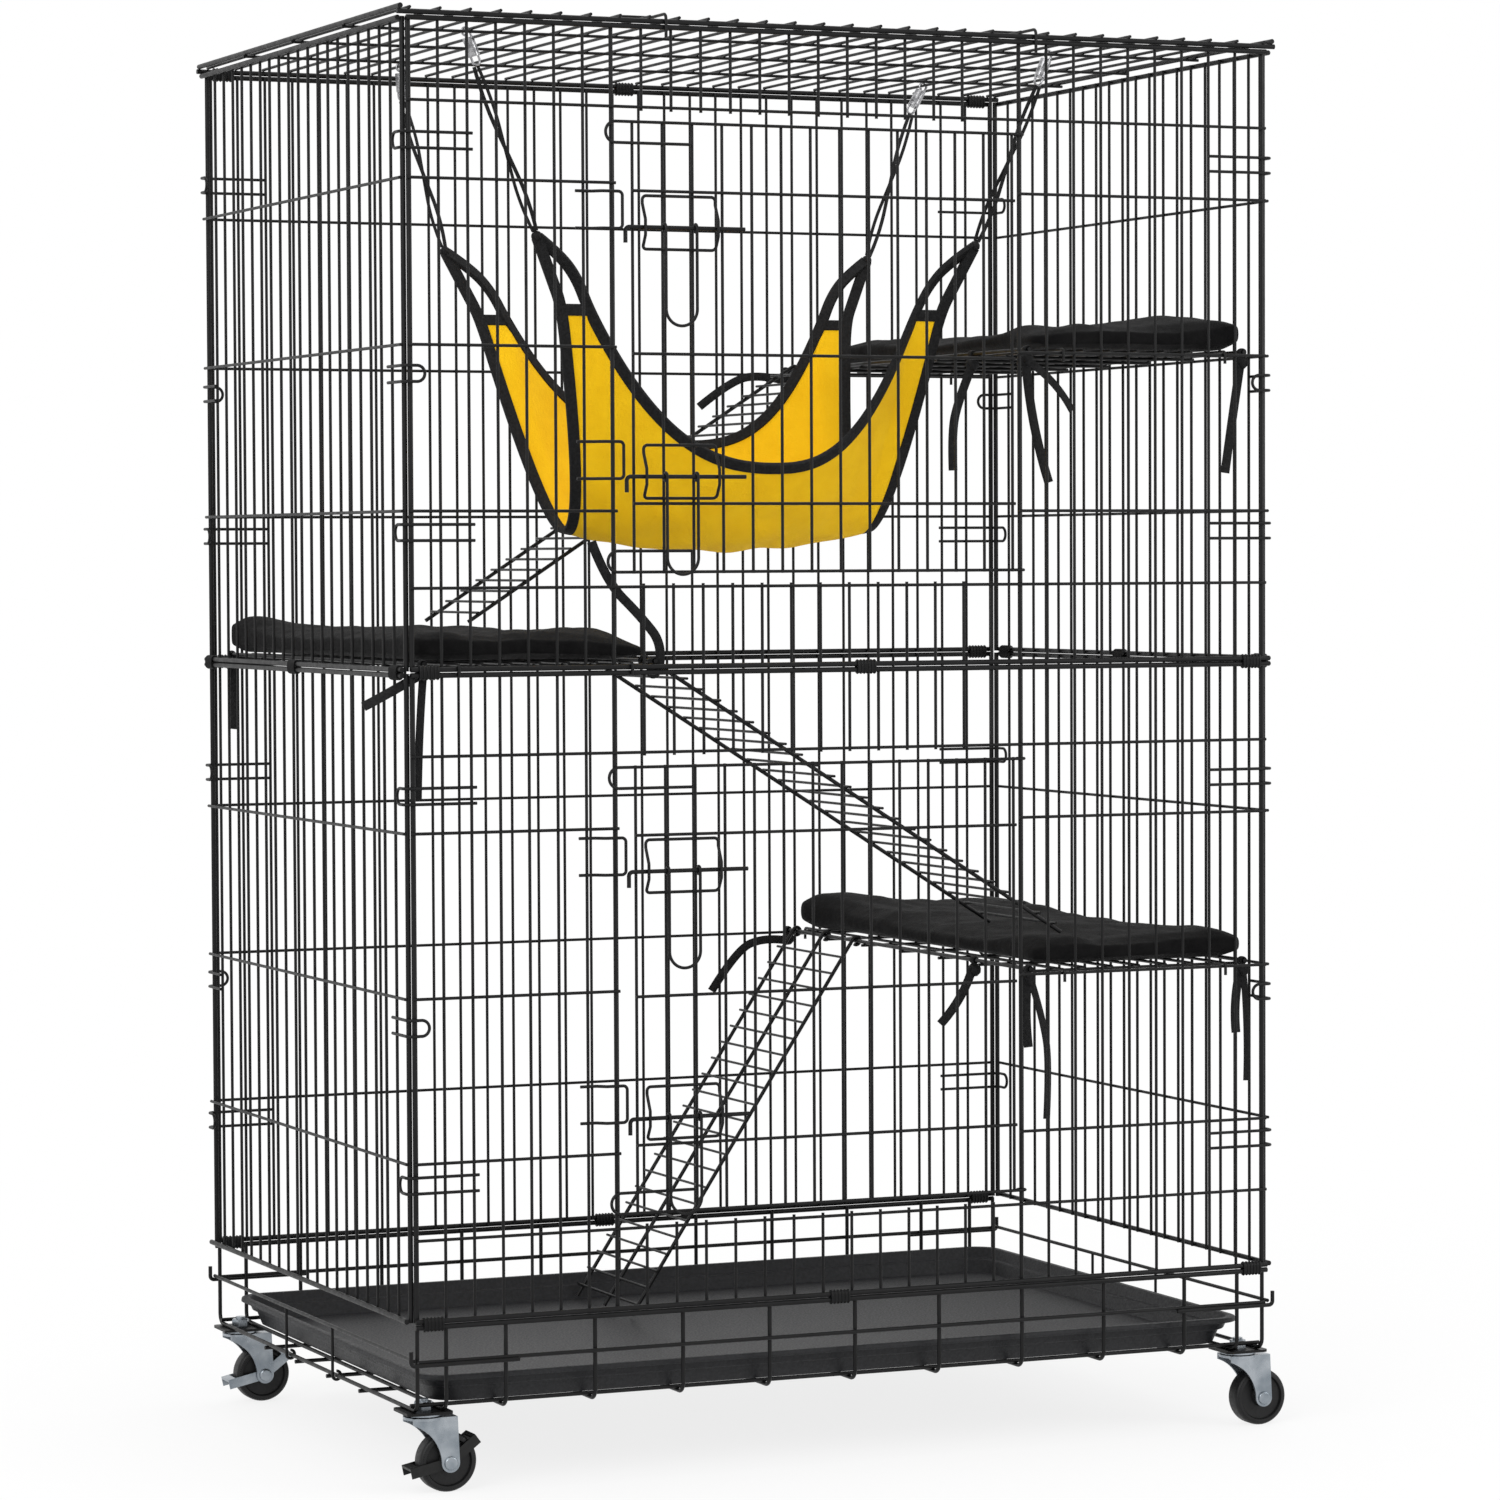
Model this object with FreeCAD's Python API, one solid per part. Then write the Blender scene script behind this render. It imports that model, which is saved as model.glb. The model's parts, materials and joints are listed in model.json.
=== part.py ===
"""Two-tier folding wire cat cage on casters, with shelves, ramps, hammock and tray.

Millimetres. The origin is on the floor under the middle of the cage, +Z is up,
the doors face -Y and +X is to the right of a person who faces the doors.
"""
import FreeCAD, Part
import math
import os

V = FreeCAD.Vector
UP = V(0, 0, 1)

# Cage sizes
CAGE_WIDTH = 914.0          # between the mesh planes of the two side walls
CAGE_DEPTH = 616.0          # between the mesh planes of the front and back walls
TIER_HEIGHT = 606.0         # bottom rail to top rail of one wall panel
BASE_HEIGHT = 80.0          # base floor wires to the top rail of the base wall
BASE_Z = 81.0               # base floor wires above the floor of the room
RAIL_STACK = 5.4            # rail to rail where two panels meet

# Wire sizes
FRAME_WIRE = 5.0            # rails and corner posts
JAMB_WIRE = 4.0             # uprights beside the doorway
BASE_WIRE = 4.0             # base uprights, floor wires and rack edges
MESH_WIRE = 3.0             # all other wires
BOLT_WIRE = 4.0             # door bolts
RAMP_WIRE = 4.0             # long wires of the ramps
RUNG_WIRE = 2.6             # cross wires of the ramps
WELD = 0.05                 # daylight between crossing wires, bridged by a weld nugget
NUGGET = 1.2                # width of a weld nugget
NUB = 1.6                   # wire end past the middle of its last rail
FIT = 0.08                  # radial clearance of a wire eye or a shaft
GAP = 0.4                   # air between pieces that only hang on one another
SOFT_GAP = 0.3              # air round cords and cloth

# Wall panels, heights from the middle of the panel
MESH_PITCH = 30.0           # upright to upright
CORNER_GAP = 5.2            # corner post back from the neighbour's mesh plane
MID_RAIL = 155.0            # the mesh rails above and below the middle one
DOORWAY_WIDTH = 430.0
DOORWAY_SHIFT = -34.0       # middle of the doorway from the middle of the panel
DOORWAY_HALF = 227.0        # the full-width rails above and below the door
CLIP_HEIGHTS = (190.0, -175.0)
CLIP_LENGTH = 62.0          # part of a corner clip that lies on its own panel
SIDE_CLIP_HEIGHT = -27.0
SIDE_CLIP_LENGTH = 34.0
CLIP_SPREAD = 15.0          # leg to leg of a hairpin
CLIP_HOOK = 18.0            # hairpin's end behind the panel's mesh plane

# Doors and latches
DOOR_HALF = 213.0           # top and bottom wires of the door
DOOR_RAILS = (148.0, -6.0, -148.0)
DOOR_INSET = 21.0           # door's free edge from the left jamb
HINGE_INSET = 8.0           # door's hinge edge from the right jamb
HAIRPIN_REACH = 7.0         # door hairpins past the left jamb
HAIRPIN_HEIGHT = 20.0
HAIRPIN_TAIL = 86.0
LATCH_HEIGHTS = (113.5, -122.5)
GUIDE_LEFT = 30.0           # latch guide from the left jamb
GUIDE_WIDTH = 75.0
GUIDE_ABOVE = 30.0          # guide's top above the bolt
GUIDE_BELOW = 20.5          # guide's bottom below the bolt
GUIDE_BEND = 5.0
BOLT_HOOK_X = 11.0          # bolt's bent end from the left jamb
BOLT_LENGTH = 123.0
BOLT_HOOK = 15.0
HANDLE_LEFT = 51.0          # pull loop from the left jamb
HANDLE_WIDTH = 32.0
HANDLE_LENGTH = 93.0
KEEPER_BAR = 6.5            # keeper's bar from the left jamb
KEEPER_ARM = 38.0           # keeper's welded ends from the left jamb, other side
KEEPER_ABOVE = 33.0
KEEPER_BELOW = 2.0
KEEPER_BEND = 4.0

# Crimped sleeves that join two rails
SLEEVE_LENGTH = 20.0
SLEEVE_WALL = 1.0

# Base, tray and tray gates
BASE_END = 28.8             # second floor wire from the corner wire
BASE_FIELD = 88.8           # first evenly spaced floor wire from the corner wire
BASE_PITCH = 91.0
BASE_BEND = 10.0            # floor wires turn up at this radius
BASE_MID = 47.0             # mid rail of the base wall above the floor wires
FLOOR_RAILS = (49.0, 147.0)  # cross wires of the floor, each side of the middle
TRAY_LENGTH = 880.0         # over the rim
TRAY_DEPTH = 588.0          # over the rim
TRAY_HEIGHT = 27.0
TRAY_WALL = 2.5
TRAY_RIM = 6.0
TRAY_SLOPE = 12.0           # draw-in of the walls from rim to floor
TRAY_CORNER = 26.0
GATE_LEG_Y = 72.0
GATE_WIRE = 3.6
GATE_LEG_WIRE = 3.0
HOOK_LENGTH = 100.0         # J-hook along the base wall
HOOK_RISE = 14.0
HOOK_PRESS = 0.3            # depth to which a J-hook is welded into the mid rail

# Shelves, cushions and ramps
RACK_PITCH = 94.0           # cross wires under the rack
RACK_DEPTH = 600.0
RACK_BAYS = 8               # mesh bays that a rack spans
RACK_HOOK = 12.0
CUSHION_DEPTH = 580.0
CUSHION_THICK = 29.0
CUSHION_SETBACK = 9.0       # cushion's edge from the rack's inner wire
CUSHION_OUTER = 10.0        # cushion's edge past the rack's outer wire
CUSHION_CORNER = 22.0
CUSHION_DRAW = 5.0          # draw-in of a side between its corners
RUNG_PITCH = 20.5
RUNG_OVERHANG = 7.0
RAMP_LANDING = 18.0         # a ramp's foot past the edge of the cushion
LOW_RAMP_RUN = 258.0        # level run of the ramp to the tray
TRAY_CLEAR = 2.4            # lower ramp above the tray, which slides out under it
MID_RAMP_RUN = 446.0        # level run of the ramp from the middle shelf
LOW_RAMP_RAILS = (114.0, 192.0, 270.0)
MID_RAMP_RAILS = (-270.0, -110.0)
TOP_RAMP_RAILS = (140.0, 270.0)

# Ties of the cushions
TIE_CORD = 4.9
KNOT_SIZE = 15.0
KNOT_Y = 294.0              # knots at the corners of the racks
SIDE_KNOT_Y = -172.0        # knots on the inner side of a rack

# Hammock, heights above the base floor wires
HAMMOCK_X = -19.0           # middle of the hammock
HAMMOCK_HALF = 116.0        # half width
HAMMOCK_FOOT = 48.0         # half width of the trough's bottom
TROUGH_BEND = 45.0          # bend between the bottom and a side of the trough
HAMMOCK_SIDE_TOP = 178.0    # half length where the side hems end
HAMMOCK_END_TOP = 210.0     # half length where the end hems end
HAMMOCK_END = 177.0         # half length at the lowest point of an end hem
HAMMOCK_LOW = 808.0         # bottom of the trough
HAMMOCK_END_LOW = 827.0     # lowest point of an end hem
HAMMOCK_FRONT_LOW = 892.0   # lowest point of the front hem
HAMMOCK_BACK_LOW = 920.0    # lowest point of the back hem
HAMMOCK_LOW_X = 27.0        # lowest points of these two hems from the middle
HAMMOCK_TOP = 1048.0        # the four short corner hems
HEM_CURVE = 2.6             # power by which a side hem rises from its lowest point
HAMMOCK_KNOT_X = 238.0      # strap knots from the middle of the hammock
HAMMOCK_KNOT_Y = 131.0
HAMMOCK_KNOT_Z = 1115.0
HAMMOCK_HOOKS = {            # snap hooks on the roof wires, by corner
    (-1, -1): (-326.0, -135.0), (1, -1): (302.0, -135.0),
    (-1, 1): (-283.0, 225.0), (1, 1): (325.0, 225.0),
}
CLOTH = 4.0
BINDING = 8.0
STRAP_CORD = 4.5
STRAP_KNOT = 17.0
SNAP_RING = 9.0             # loop under the barrel of a snap hook
SNAP_WIRE = 2.4
SNAP_LENGTH = 19.0

# Casters
WHEEL_D = 57.0
WHEEL_WIDTH = 20.0
CASTER_TRAIL = 22.0
CASTER_INSET = 25.0         # stem from the mesh plane of the front or back wall
AXLE_D = 8.0
STEM_D = 10.0
PLATE_X = 46.0
PLATE_Y = 46.0
PLATE_THICK = 2.5
NUT_FLATS = 16.0
NUT_HEIGHT = 8.0
FORK_SHEET = 2.5
FORK_SIDE_GAP = 3.0         # wheel to fork, room for the brake lever
RACE_D = 36.0
RACE_HEIGHT = 3.2

# Places that follow from the sizes above
HALF_W = CAGE_WIDTH / 2
HALF_D = CAGE_DEPTH / 2
POST_X = HALF_W - CORNER_GAP
POST_Y = HALF_D - CORNER_GAP
HALF_TIER = TIER_HEIGHT / 2
FRAME_RAIL_OUT = (MESH_WIRE + FRAME_WIRE) / 2 + WELD
MESH_RAIL_OUT = MESH_WIRE + WELD
BASE_TOP_Z = BASE_Z + BASE_HEIGHT
LOWER_MID = BASE_TOP_Z + RAIL_STACK + HALF_TIER
UPPER_MID = LOWER_MID + TIER_HEIGHT + RAIL_STACK
ROOF_Z = UPPER_MID + HALF_TIER + RAIL_STACK
JAMB_LEFT = DOORWAY_SHIFT - DOORWAY_WIDTH / 2
JAMB_RIGHT = DOORWAY_SHIFT + DOORWAY_WIDTH / 2
JAMB_Y = (JAMB_WIRE - MESH_WIRE) / 2
DOOR_EYE = JAMB_WIRE / 2 + GAP + MESH_WIRE / 2
DOOR_RAIL_Y = JAMB_Y - DOOR_EYE
DOOR_Y = DOOR_RAIL_Y + MESH_RAIL_OUT
HANDLE_EYE = BOLT_WIRE / 2 + FIT + MESH_WIRE / 2
BOLT_Y = DOOR_Y - MESH_WIRE / 2 - GAP - HANDLE_EYE - MESH_WIRE / 2
PROUD_Y = BOLT_Y - BOLT_WIRE / 2 - GAP - MESH_WIRE / 2

os.makedirs("parts", exist_ok=True)


# Wire bending and welding

def save(name, *solids):
    """Writes one sub-part; several solids stay separate solids of a group."""
    shape = solids[0] if len(solids) == 1 else Part.makeCompound(list(solids))
    if not shape.isValid():
        raise ValueError(name + " is not a valid solid")
    shape.exportStep("parts/" + name + ".step")
    volumes = sum(solid.Volume for solid in shape.Solids)
    print(name, len(shape.Solids), "solids", round(volumes), "mm3")


def moved(shape, x=0.0, y=0.0, z=0.0, turn=0.0):
    """A copy turned about Z by turn degrees and then moved."""
    copy = shape.copy()
    copy.rotate(V(0, 0, 0), UP, turn)
    copy.translate(V(x, y, z))
    return copy


def rod(start, end, diameter):
    along = V(*end) - V(*start)
    return Part.makeCylinder(diameter / 2, along.Length, V(*start), along)


def bent_path(points, bends):
    """Straight runs joined by tangent arcs, one bend radius for each inner point."""
    points = [V(*point) for point in points]
    if not isinstance(bends, (list, tuple)):
        bends = [bends] * (len(points) - 2)
    edges = []
    here = points[0]
    for index, radius in enumerate(bends, 1):
        corner = points[index]
        back = (points[index - 1] - corner).normalize()
        ahead = (points[index + 1] - corner).normalize()
        half_turn = (math.pi - back.getAngle(ahead)) / 2
        reach = radius * math.tan(half_turn)
        entry = corner + back * reach
        leave = corner + ahead * reach
        inward = (back + ahead).normalize()
        apex = corner + inward * (radius / math.cos(half_turn) - radius)
        if (entry - here).Length > 1e-6:
            edges.append(Part.LineSegment(here, entry).toShape())
        edges.append(Part.Arc(entry, apex, leave).toShape())
        here = leave
    if (points[-1] - here).Length > 1e-6:
        edges.append(Part.LineSegment(here, points[-1]).toShape())
    return Part.Wire(edges)


def bent_wire(points, bends, diameter):
    """Round wire along a bent path, both ends cut square."""
    path = bent_path(points, bends)
    start = V(*points[0])
    section = Part.Circle(start, V(*points[1]) - start, diameter / 2).toShape()
    return path.makePipeShell([Part.Wire(section)], True, False)


def welded(first, *others):
    """One solid out of wires that are pressed into one another."""
    joined = first.multiFuse(list(others)) if others else first
    if len(joined.Solids) != 1:
        raise ValueError("a weld misses its wire: %d solids" % len(joined.Solids))
    return joined.Solids[0]


def curl(center, side, heading, radius, diameter):
    """Open eye: three quarters of a turn from center + side, at first along heading."""
    middle = V(*center)
    u = V(*side) * radius
    v = V(*heading) * radius
    spots = [middle + u, middle + v, middle - u, middle - v]
    edges = []
    for start, end in zip(spots, spots[1:]):
        bulge = (start + end) * 0.5 - middle
        edges.append(Part.Arc(start, middle + bulge.normalize() * radius, end).toShape())
    section = Part.Circle(spots[0], v, diameter / 2).toShape()
    return Part.Wire(edges).makePipeShell([Part.Wire(section)], True, False)


def spaced(start, end, pitch):
    """Even places from start to end, about one pitch apart."""
    count = max(1, round((end - start) / pitch))
    return [start + (end - start) * step / count for step in range(count + 1)]


def middles(places):
    return [(a + b) / 2 for a, b in zip(places, places[1:])]


def nearest(places, target):
    return min(places, key=lambda place: abs(place - target))


def nugget(wire, rail):
    """Small weld between a cross wire at x = 0 and a rail, or nothing if they don't meet."""
    y, z, x0, x1, diameter = rail
    along = z if wire["axis"] == "Z" else y
    meets = any(low < along < high for low, high in wire["spans"])
    if not meets or not x0 < 0 < x1:
        return []
    half = NUGGET / 2
    if wire["axis"] == "Z":
        low, high = sorted((y, wire["offset"]))
        return [Part.makeBox(NUGGET, high - low, NUGGET, V(-half, low, z - half))]
    low, high = sorted((z, wire["offset"]))
    return [Part.makeBox(NUGGET, NUGGET, high - low, V(-half, y - half, low))]


def weld_bay(wire, stubs, low, high):
    """Outer faces of one cross wire with the rail stubs of its bay, at x = 0.

    The stub ends at low and high, where the neighbouring bays go on, stay open."""
    pieces = list(wire["maker"]())
    for stub in stubs:
        y, z, x0, x1, diameter = stub
        pieces.append(rod((x0, y, z), (x1, y, z), diameter))
        pieces += nugget(wire, stub)
    joined = pieces[0].multiFuse(pieces[1:])
    faces = []
    for face in joined.Faces:
        box = face.BoundBox
        flat = box.XLength < 1e-5
        cut = [end for end in (low, high) if end is not None and abs(box.XMin - end) < 1e-5]
        if not (flat and cut):
            faces.append(face)
    return Part.makeCompound(faces)


def welded_grid(wires, rails):
    """One welded grid of like bays: cross wires over rails along X.

    wires: made by upright or level. rails: (y, z, x0, x1, diameter).
    Like bays are welded once and then copied."""
    places = [wire["x"] for wire in wires]
    borders = [None] + middles(places) + [None]
    known = {}
    faces = []
    for index, wire in enumerate(wires):
        x = wire["x"]
        low, high = [None if b is None else b - x for b in borders[index:index + 2]]
        stubs = []
        for y, z, x0, x1, diameter in rails:
            left = x0 - x if low is None else max(x0 - x, low)
            right = x1 - x if high is None else min(x1 - x, high)
            if right - left > 1e-3:
                stubs.append((y, z, left, right, diameter))
        key = (wire["kind"], tuple(tuple(round(value, 4) for value in stub) for stub in stubs))
        if key not in known:
            known[key] = weld_bay(wire, stubs, low, high)
        bay = known[key].copy()
        bay.translate(V(x, 0, 0))
        faces += bay.Faces
    shell = Part.makeShell(faces)
    shell.sewShape()
    grid = Part.makeSolid(shell)
    if grid.Volume < 0:
        grid.reverse()
    return grid


def upright(x, diameter, *spans):
    """A wire along Z over one or more spans, its front in line with the mesh wires'."""
    offset = (diameter - MESH_WIRE) / 2

    def maker():
        return [rod((0, offset, low), (0, offset, high), diameter) for low, high in spans]
    kind = ("upright", diameter, spans)
    return {"x": x, "kind": kind, "maker": maker, "axis": "Z", "offset": offset, "spans": spans}


def level(x, diameter, half, offset=None):
    """A straight wire along Y, its underside in line with the mesh wires'."""
    if offset is None:
        offset = (diameter - MESH_WIRE) / 2
    low, high = half if isinstance(half, tuple) else (-half, half)

    def maker():
        return [rod((0, low, offset), (0, high, offset), diameter)]
    kind = ("level", diameter, low, high, offset)
    return {"x": x, "kind": kind, "maker": maker, "axis": "Y", "offset": offset, "spans": [(low, high)]}


def bent_level(x, diameter, half, rise, radius):
    """A wire along Y at z = 0 whose two ends are bent up, or down if rise is below 0."""
    def maker():
        points = [(0, -half, rise), (0, -half, 0), (0, half, 0), (0, half, rise)]
        return [bent_wire(points, radius, diameter)]
    kind = ("bent", diameter, half, rise, radius)
    spans = [(radius - half, half - radius)]
    return {"x": x, "kind": kind, "maker": maker, "axis": "Y", "offset": 0.0, "spans": spans}


# Wall panels, each in the XZ plane with its outside towards -Y

FULL_SPAN = (-HALF_TIER - NUB, HALF_TIER + NUB)
HEADER_SPAN = (DOORWAY_HALF - 2 * NUB, HALF_TIER + NUB)
SILL_SPAN = (-HALF_TIER - NUB, -DOORWAY_HALF + 2 * NUB)
RAIL_END = 3.0              # rail past the middle of its last upright


def frame_rails(half_width):
    end = half_width + RAIL_END
    return [(-FRAME_RAIL_OUT, z, -end, end, FRAME_WIRE) for z in (-HALF_TIER, HALF_TIER)]


def mesh_rail(z, left, right):
    return (-MESH_RAIL_OUT, z, left - RAIL_END, right + RAIL_END, MESH_WIRE)


def clip_legs(side, post, height, length):
    """Rails of a hairpin's two legs, welded to the panel's last wires."""
    ends = sorted((side * (post - length), side * (post + RAIL_END)))
    return [(-MESH_RAIL_OUT, height + s * CLIP_SPREAD / 2, ends[0], ends[1], MESH_WIRE) for s in (-1, 1)]


def clip_bow(side, post, neighbour, height):
    """End of a hairpin, from leg to leg round the neighbouring panel's corner post."""
    out = side * (neighbour + FRAME_WIRE / 2 + GAP + MESH_WIRE / 2)
    start = side * (post + RAIL_END)
    half = CLIP_SPREAD / 2
    points = [(start, -MESH_RAIL_OUT, height + half), (out, -MESH_RAIL_OUT, height + half),
              (out, CLIP_HOOK, height + half), (out, CLIP_HOOK, height - half),
              (out, -MESH_RAIL_OUT, height - half), (start, -MESH_RAIL_OUT, height - half)]
    return bent_wire(points, [5.0, half, half, 5.0], MESH_WIRE)


def panel_posts(places):
    """Full-height uprights, the first and last of them corner posts."""
    ends = (places[0], places[-1])
    return [upright(x, FRAME_WIRE if x in ends else MESH_WIRE, FULL_SPAN) for x in places]


SIDE_PLACES = spaced(-POST_Y, POST_Y, MESH_PITCH)
BACK_PLACES = spaced(-POST_X, POST_X, MESH_PITCH)
LEFT_PLACES = spaced(-POST_X, JAMB_LEFT, MESH_PITCH)
HEADER_PLACES = spaced(JAMB_LEFT, JAMB_RIGHT, MESH_PITCH)
RIGHT_PLACES = spaced(JAMB_RIGHT, POST_X, MESH_PITCH)
FRONT_PLACES = LEFT_PLACES + HEADER_PLACES[1:-1] + RIGHT_PLACES


def side_panel():
    rails = frame_rails(POST_Y)
    rails += [mesh_rail(z, -POST_Y, POST_Y) for z in (-MID_RAIL, 0.0, MID_RAIL)]
    for side in (-1, 1):
        rails += clip_legs(side, POST_Y, SIDE_CLIP_HEIGHT, SIDE_CLIP_LENGTH)
    bows = [clip_bow(side, POST_Y, HALF_D, SIDE_CLIP_HEIGHT) for side in (-1, 1)]
    return welded(welded_grid(panel_posts(SIDE_PLACES), rails), *bows)


def wide_legs(side):
    return [leg for height in CLIP_HEIGHTS for leg in clip_legs(side, POST_X, height, CLIP_LENGTH)]


def wide_bows(side):
    return [clip_bow(side, POST_X, HALF_W, height) for height in CLIP_HEIGHTS]


def back_panel():
    rails = frame_rails(POST_X)
    rails += [mesh_rail(z, -POST_X, POST_X) for z in (-MID_RAIL, 0.0, MID_RAIL)]
    rails += wide_legs(-1) + wide_legs(1)
    return welded(welded_grid(panel_posts(BACK_PLACES), rails), *wide_bows(-1), *wide_bows(1))


def keeper_heights(bolt_z):
    return (bolt_z + KEEPER_ABOVE, bolt_z - KEEPER_BELOW)


def keeper_legs(bolt_z):
    return [(-MESH_RAIL_OUT, z, JAMB_LEFT - KEEPER_ARM, LEFT_PLACES[-2] + RAIL_END, MESH_WIRE)
            for z in keeper_heights(bolt_z)]


def keeper_bow(bolt_z):
    """Wire staple that stands proud of the left jamb, for the bolt to go behind."""
    bar = JAMB_LEFT + KEEPER_BAR
    start = LEFT_PLACES[-2] + RAIL_END
    step_in = start + KEEPER_BEND
    step_out = step_in + 2 * KEEPER_BEND
    high, low = keeper_heights(bolt_z)
    points = [(start, -MESH_RAIL_OUT, high), (step_in, -MESH_RAIL_OUT, high),
              (step_out, PROUD_Y, high), (bar, PROUD_Y, high),
              (bar, PROUD_Y, low), (step_out, PROUD_Y, low),
              (step_in, -MESH_RAIL_OUT, low), (start, -MESH_RAIL_OUT, low)]
    return bent_wire(points, KEEPER_BEND, MESH_WIRE)


def field_rails(rails, low, high):
    """The stretches of the rails between two places along the panel."""
    return [(y, z, max(x0, low), min(x1, high), diameter) for y, z, x0, x1, diameter in rails]


def front_panel():
    """Four fields round the doorway: left, right, header and sill. Their rails meet end to end."""
    left_cut = JAMB_LEFT + JAMB_WIRE
    right_cut = JAMB_RIGHT - JAMB_WIRE
    header_rails = [frame_rails(POST_X)[1], mesh_rail(DOORWAY_HALF, -POST_X, POST_X)]
    sill_rails = [frame_rails(POST_X)[0], mesh_rail(-DOORWAY_HALF, -POST_X, POST_X)]
    through = header_rails + sill_rails
    middles_left = [mesh_rail(z, -POST_X, JAMB_LEFT) for z in (-MID_RAIL, 0.0, MID_RAIL)]
    middles_right = [mesh_rail(z, JAMB_RIGHT, POST_X) for z in (-MID_RAIL, 0.0, MID_RAIL)]
    for bolt_z in LATCH_HEIGHTS:
        middles_left += keeper_legs(bolt_z)
    left_posts = panel_posts(LEFT_PLACES)[:-1] + [upright(JAMB_LEFT, JAMB_WIRE, FULL_SPAN)]
    right_posts = [upright(JAMB_RIGHT, JAMB_WIRE, FULL_SPAN)] + panel_posts(RIGHT_PLACES)[1:]
    left = welded_grid(left_posts, field_rails(through, -HALF_W, left_cut) + middles_left + wide_legs(-1))
    right = welded_grid(right_posts, field_rails(through, right_cut, HALF_W) + middles_right + wide_legs(1))
    keepers = [keeper_bow(bolt_z) for bolt_z in LATCH_HEIGHTS]
    fields = [welded(left, *wide_bows(-1), *keepers), welded(right, *wide_bows(1))]
    for rails, span in ((header_rails, HEADER_SPAN), (sill_rails, SILL_SPAN)):
        wires = [upright(x, MESH_WIRE, span) for x in HEADER_PLACES[1:-1]]
        fields.append(welded_grid(wires, field_rails(rails, left_cut, right_cut)))
    return fields


side = side_panel()
back = back_panel()
front = front_panel()
for tier, mid in (("lower", LOWER_MID), ("upper", UPPER_MID)):
    save(tier + "_front_panel", *[moved(field, 0, -HALF_D, mid) for field in front])
    save(tier + "_back_panel", moved(back, 0, HALF_D, mid, 180))
    save(tier + "_left_panel", moved(side, -HALF_W, 0, mid, -90))
    save(tier + "_right_panel", moved(side, HALF_W, 0, mid, 90))


# Doors with their hairpin stops, hinge eyes and latch guides

def door_hairpin(edge, turn, start):
    """The top or bottom wire turned back on itself in front of the left jamb."""
    middle = (edge + turn) / 2
    radius = HAIRPIN_HEIGHT / 2
    spots = [V(x, DOOR_RAIL_Y, z) for x, z in ((start, edge), (start - radius, middle), (start, turn))]
    path = Part.Wire([Part.Arc(*spots).toShape()])
    section = Part.Circle(spots[0], V(1, 0, 0), MESH_WIRE / 2).toShape()
    return path.makePipeShell([Part.Wire(section)], True, False)


def guide_rails(bolt_z):
    """Level wires above and below the bolt, welded to the door's uprights."""
    left = JAMB_LEFT + GUIDE_LEFT + GUIDE_BEND
    right = JAMB_LEFT + GUIDE_LEFT + GUIDE_WIDTH - GUIDE_BEND
    return [(-MESH_RAIL_OUT, z, left, right, MESH_WIRE)
            for z in (bolt_z + GUIDE_ABOVE, bolt_z - GUIDE_BELOW)]


def guide_bows(bolt_z):
    """The two sides of a latch guide, bowed out over the bolt."""
    left = JAMB_LEFT + GUIDE_LEFT
    right = left + GUIDE_WIDTH
    top = bolt_z + GUIDE_ABOVE
    low = bolt_z - GUIDE_BELOW
    bow = BOLT_WIRE + MESH_WIRE + GAP
    flat = DOOR_RAIL_Y
    bows = []
    for edge, start in ((left, left + GUIDE_BEND), (right, right - GUIDE_BEND)):
        points = [(start, flat, top), (edge, flat, top), (edge, flat, top - bow),
                  (edge, PROUD_Y, bolt_z + bow), (edge, PROUD_Y, bolt_z - bow),
                  (edge, flat, low), (start, flat, low)]
        bows.append(bent_wire(points, [4.0, 3.0, 3.0, 3.0, 4.0], MESH_WIRE))
    return bows


def door():
    left = JAMB_LEFT + DOOR_INSET
    right = JAMB_RIGHT - HINGE_INSET
    places = spaced(left, right, MESH_PITCH)
    span = (-DOOR_HALF - NUB, DOOR_HALF + NUB)
    uprights = [upright(x, MESH_WIRE, span) for x in places]
    start = JAMB_LEFT - HAIRPIN_REACH + HAIRPIN_HEIGHT / 2
    tail = JAMB_LEFT - HAIRPIN_REACH + HAIRPIN_TAIL
    rails = [(-MESH_RAIL_OUT, z, left - NUB, right + NUB, MESH_WIRE) for z in DOOR_RAILS]
    extras = []
    for edge in (-DOOR_HALF, DOOR_HALF):
        turn = edge - math.copysign(HAIRPIN_HEIGHT, edge)
        rails.append((-MESH_RAIL_OUT, edge, start, JAMB_RIGHT, MESH_WIRE))
        rails.append((-MESH_RAIL_OUT, turn, start, tail, MESH_WIRE))
        extras.append(door_hairpin(edge, turn, start))
        extras.append(curl((JAMB_RIGHT, JAMB_Y, edge), (0, -1, 0), (1, 0, 0), DOOR_EYE, MESH_WIRE))
    for bolt_z in LATCH_HEIGHTS:
        rails += guide_rails(bolt_z)
        extras += guide_bows(bolt_z)
    return welded(moved(welded_grid(uprights, rails), 0, DOOR_Y, 0), *extras)


def latch_bolt():
    """Rod with a bent-down end; the middle of its run is at z = 0."""
    hook = JAMB_LEFT + BOLT_HOOK_X
    points = [(hook, BOLT_Y, -BOLT_HOOK), (hook, BOLT_Y, 0), (hook + BOLT_LENGTH, BOLT_Y, 0)]
    return bent_wire(points, BOLT_WIRE, BOLT_WIRE)


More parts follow.
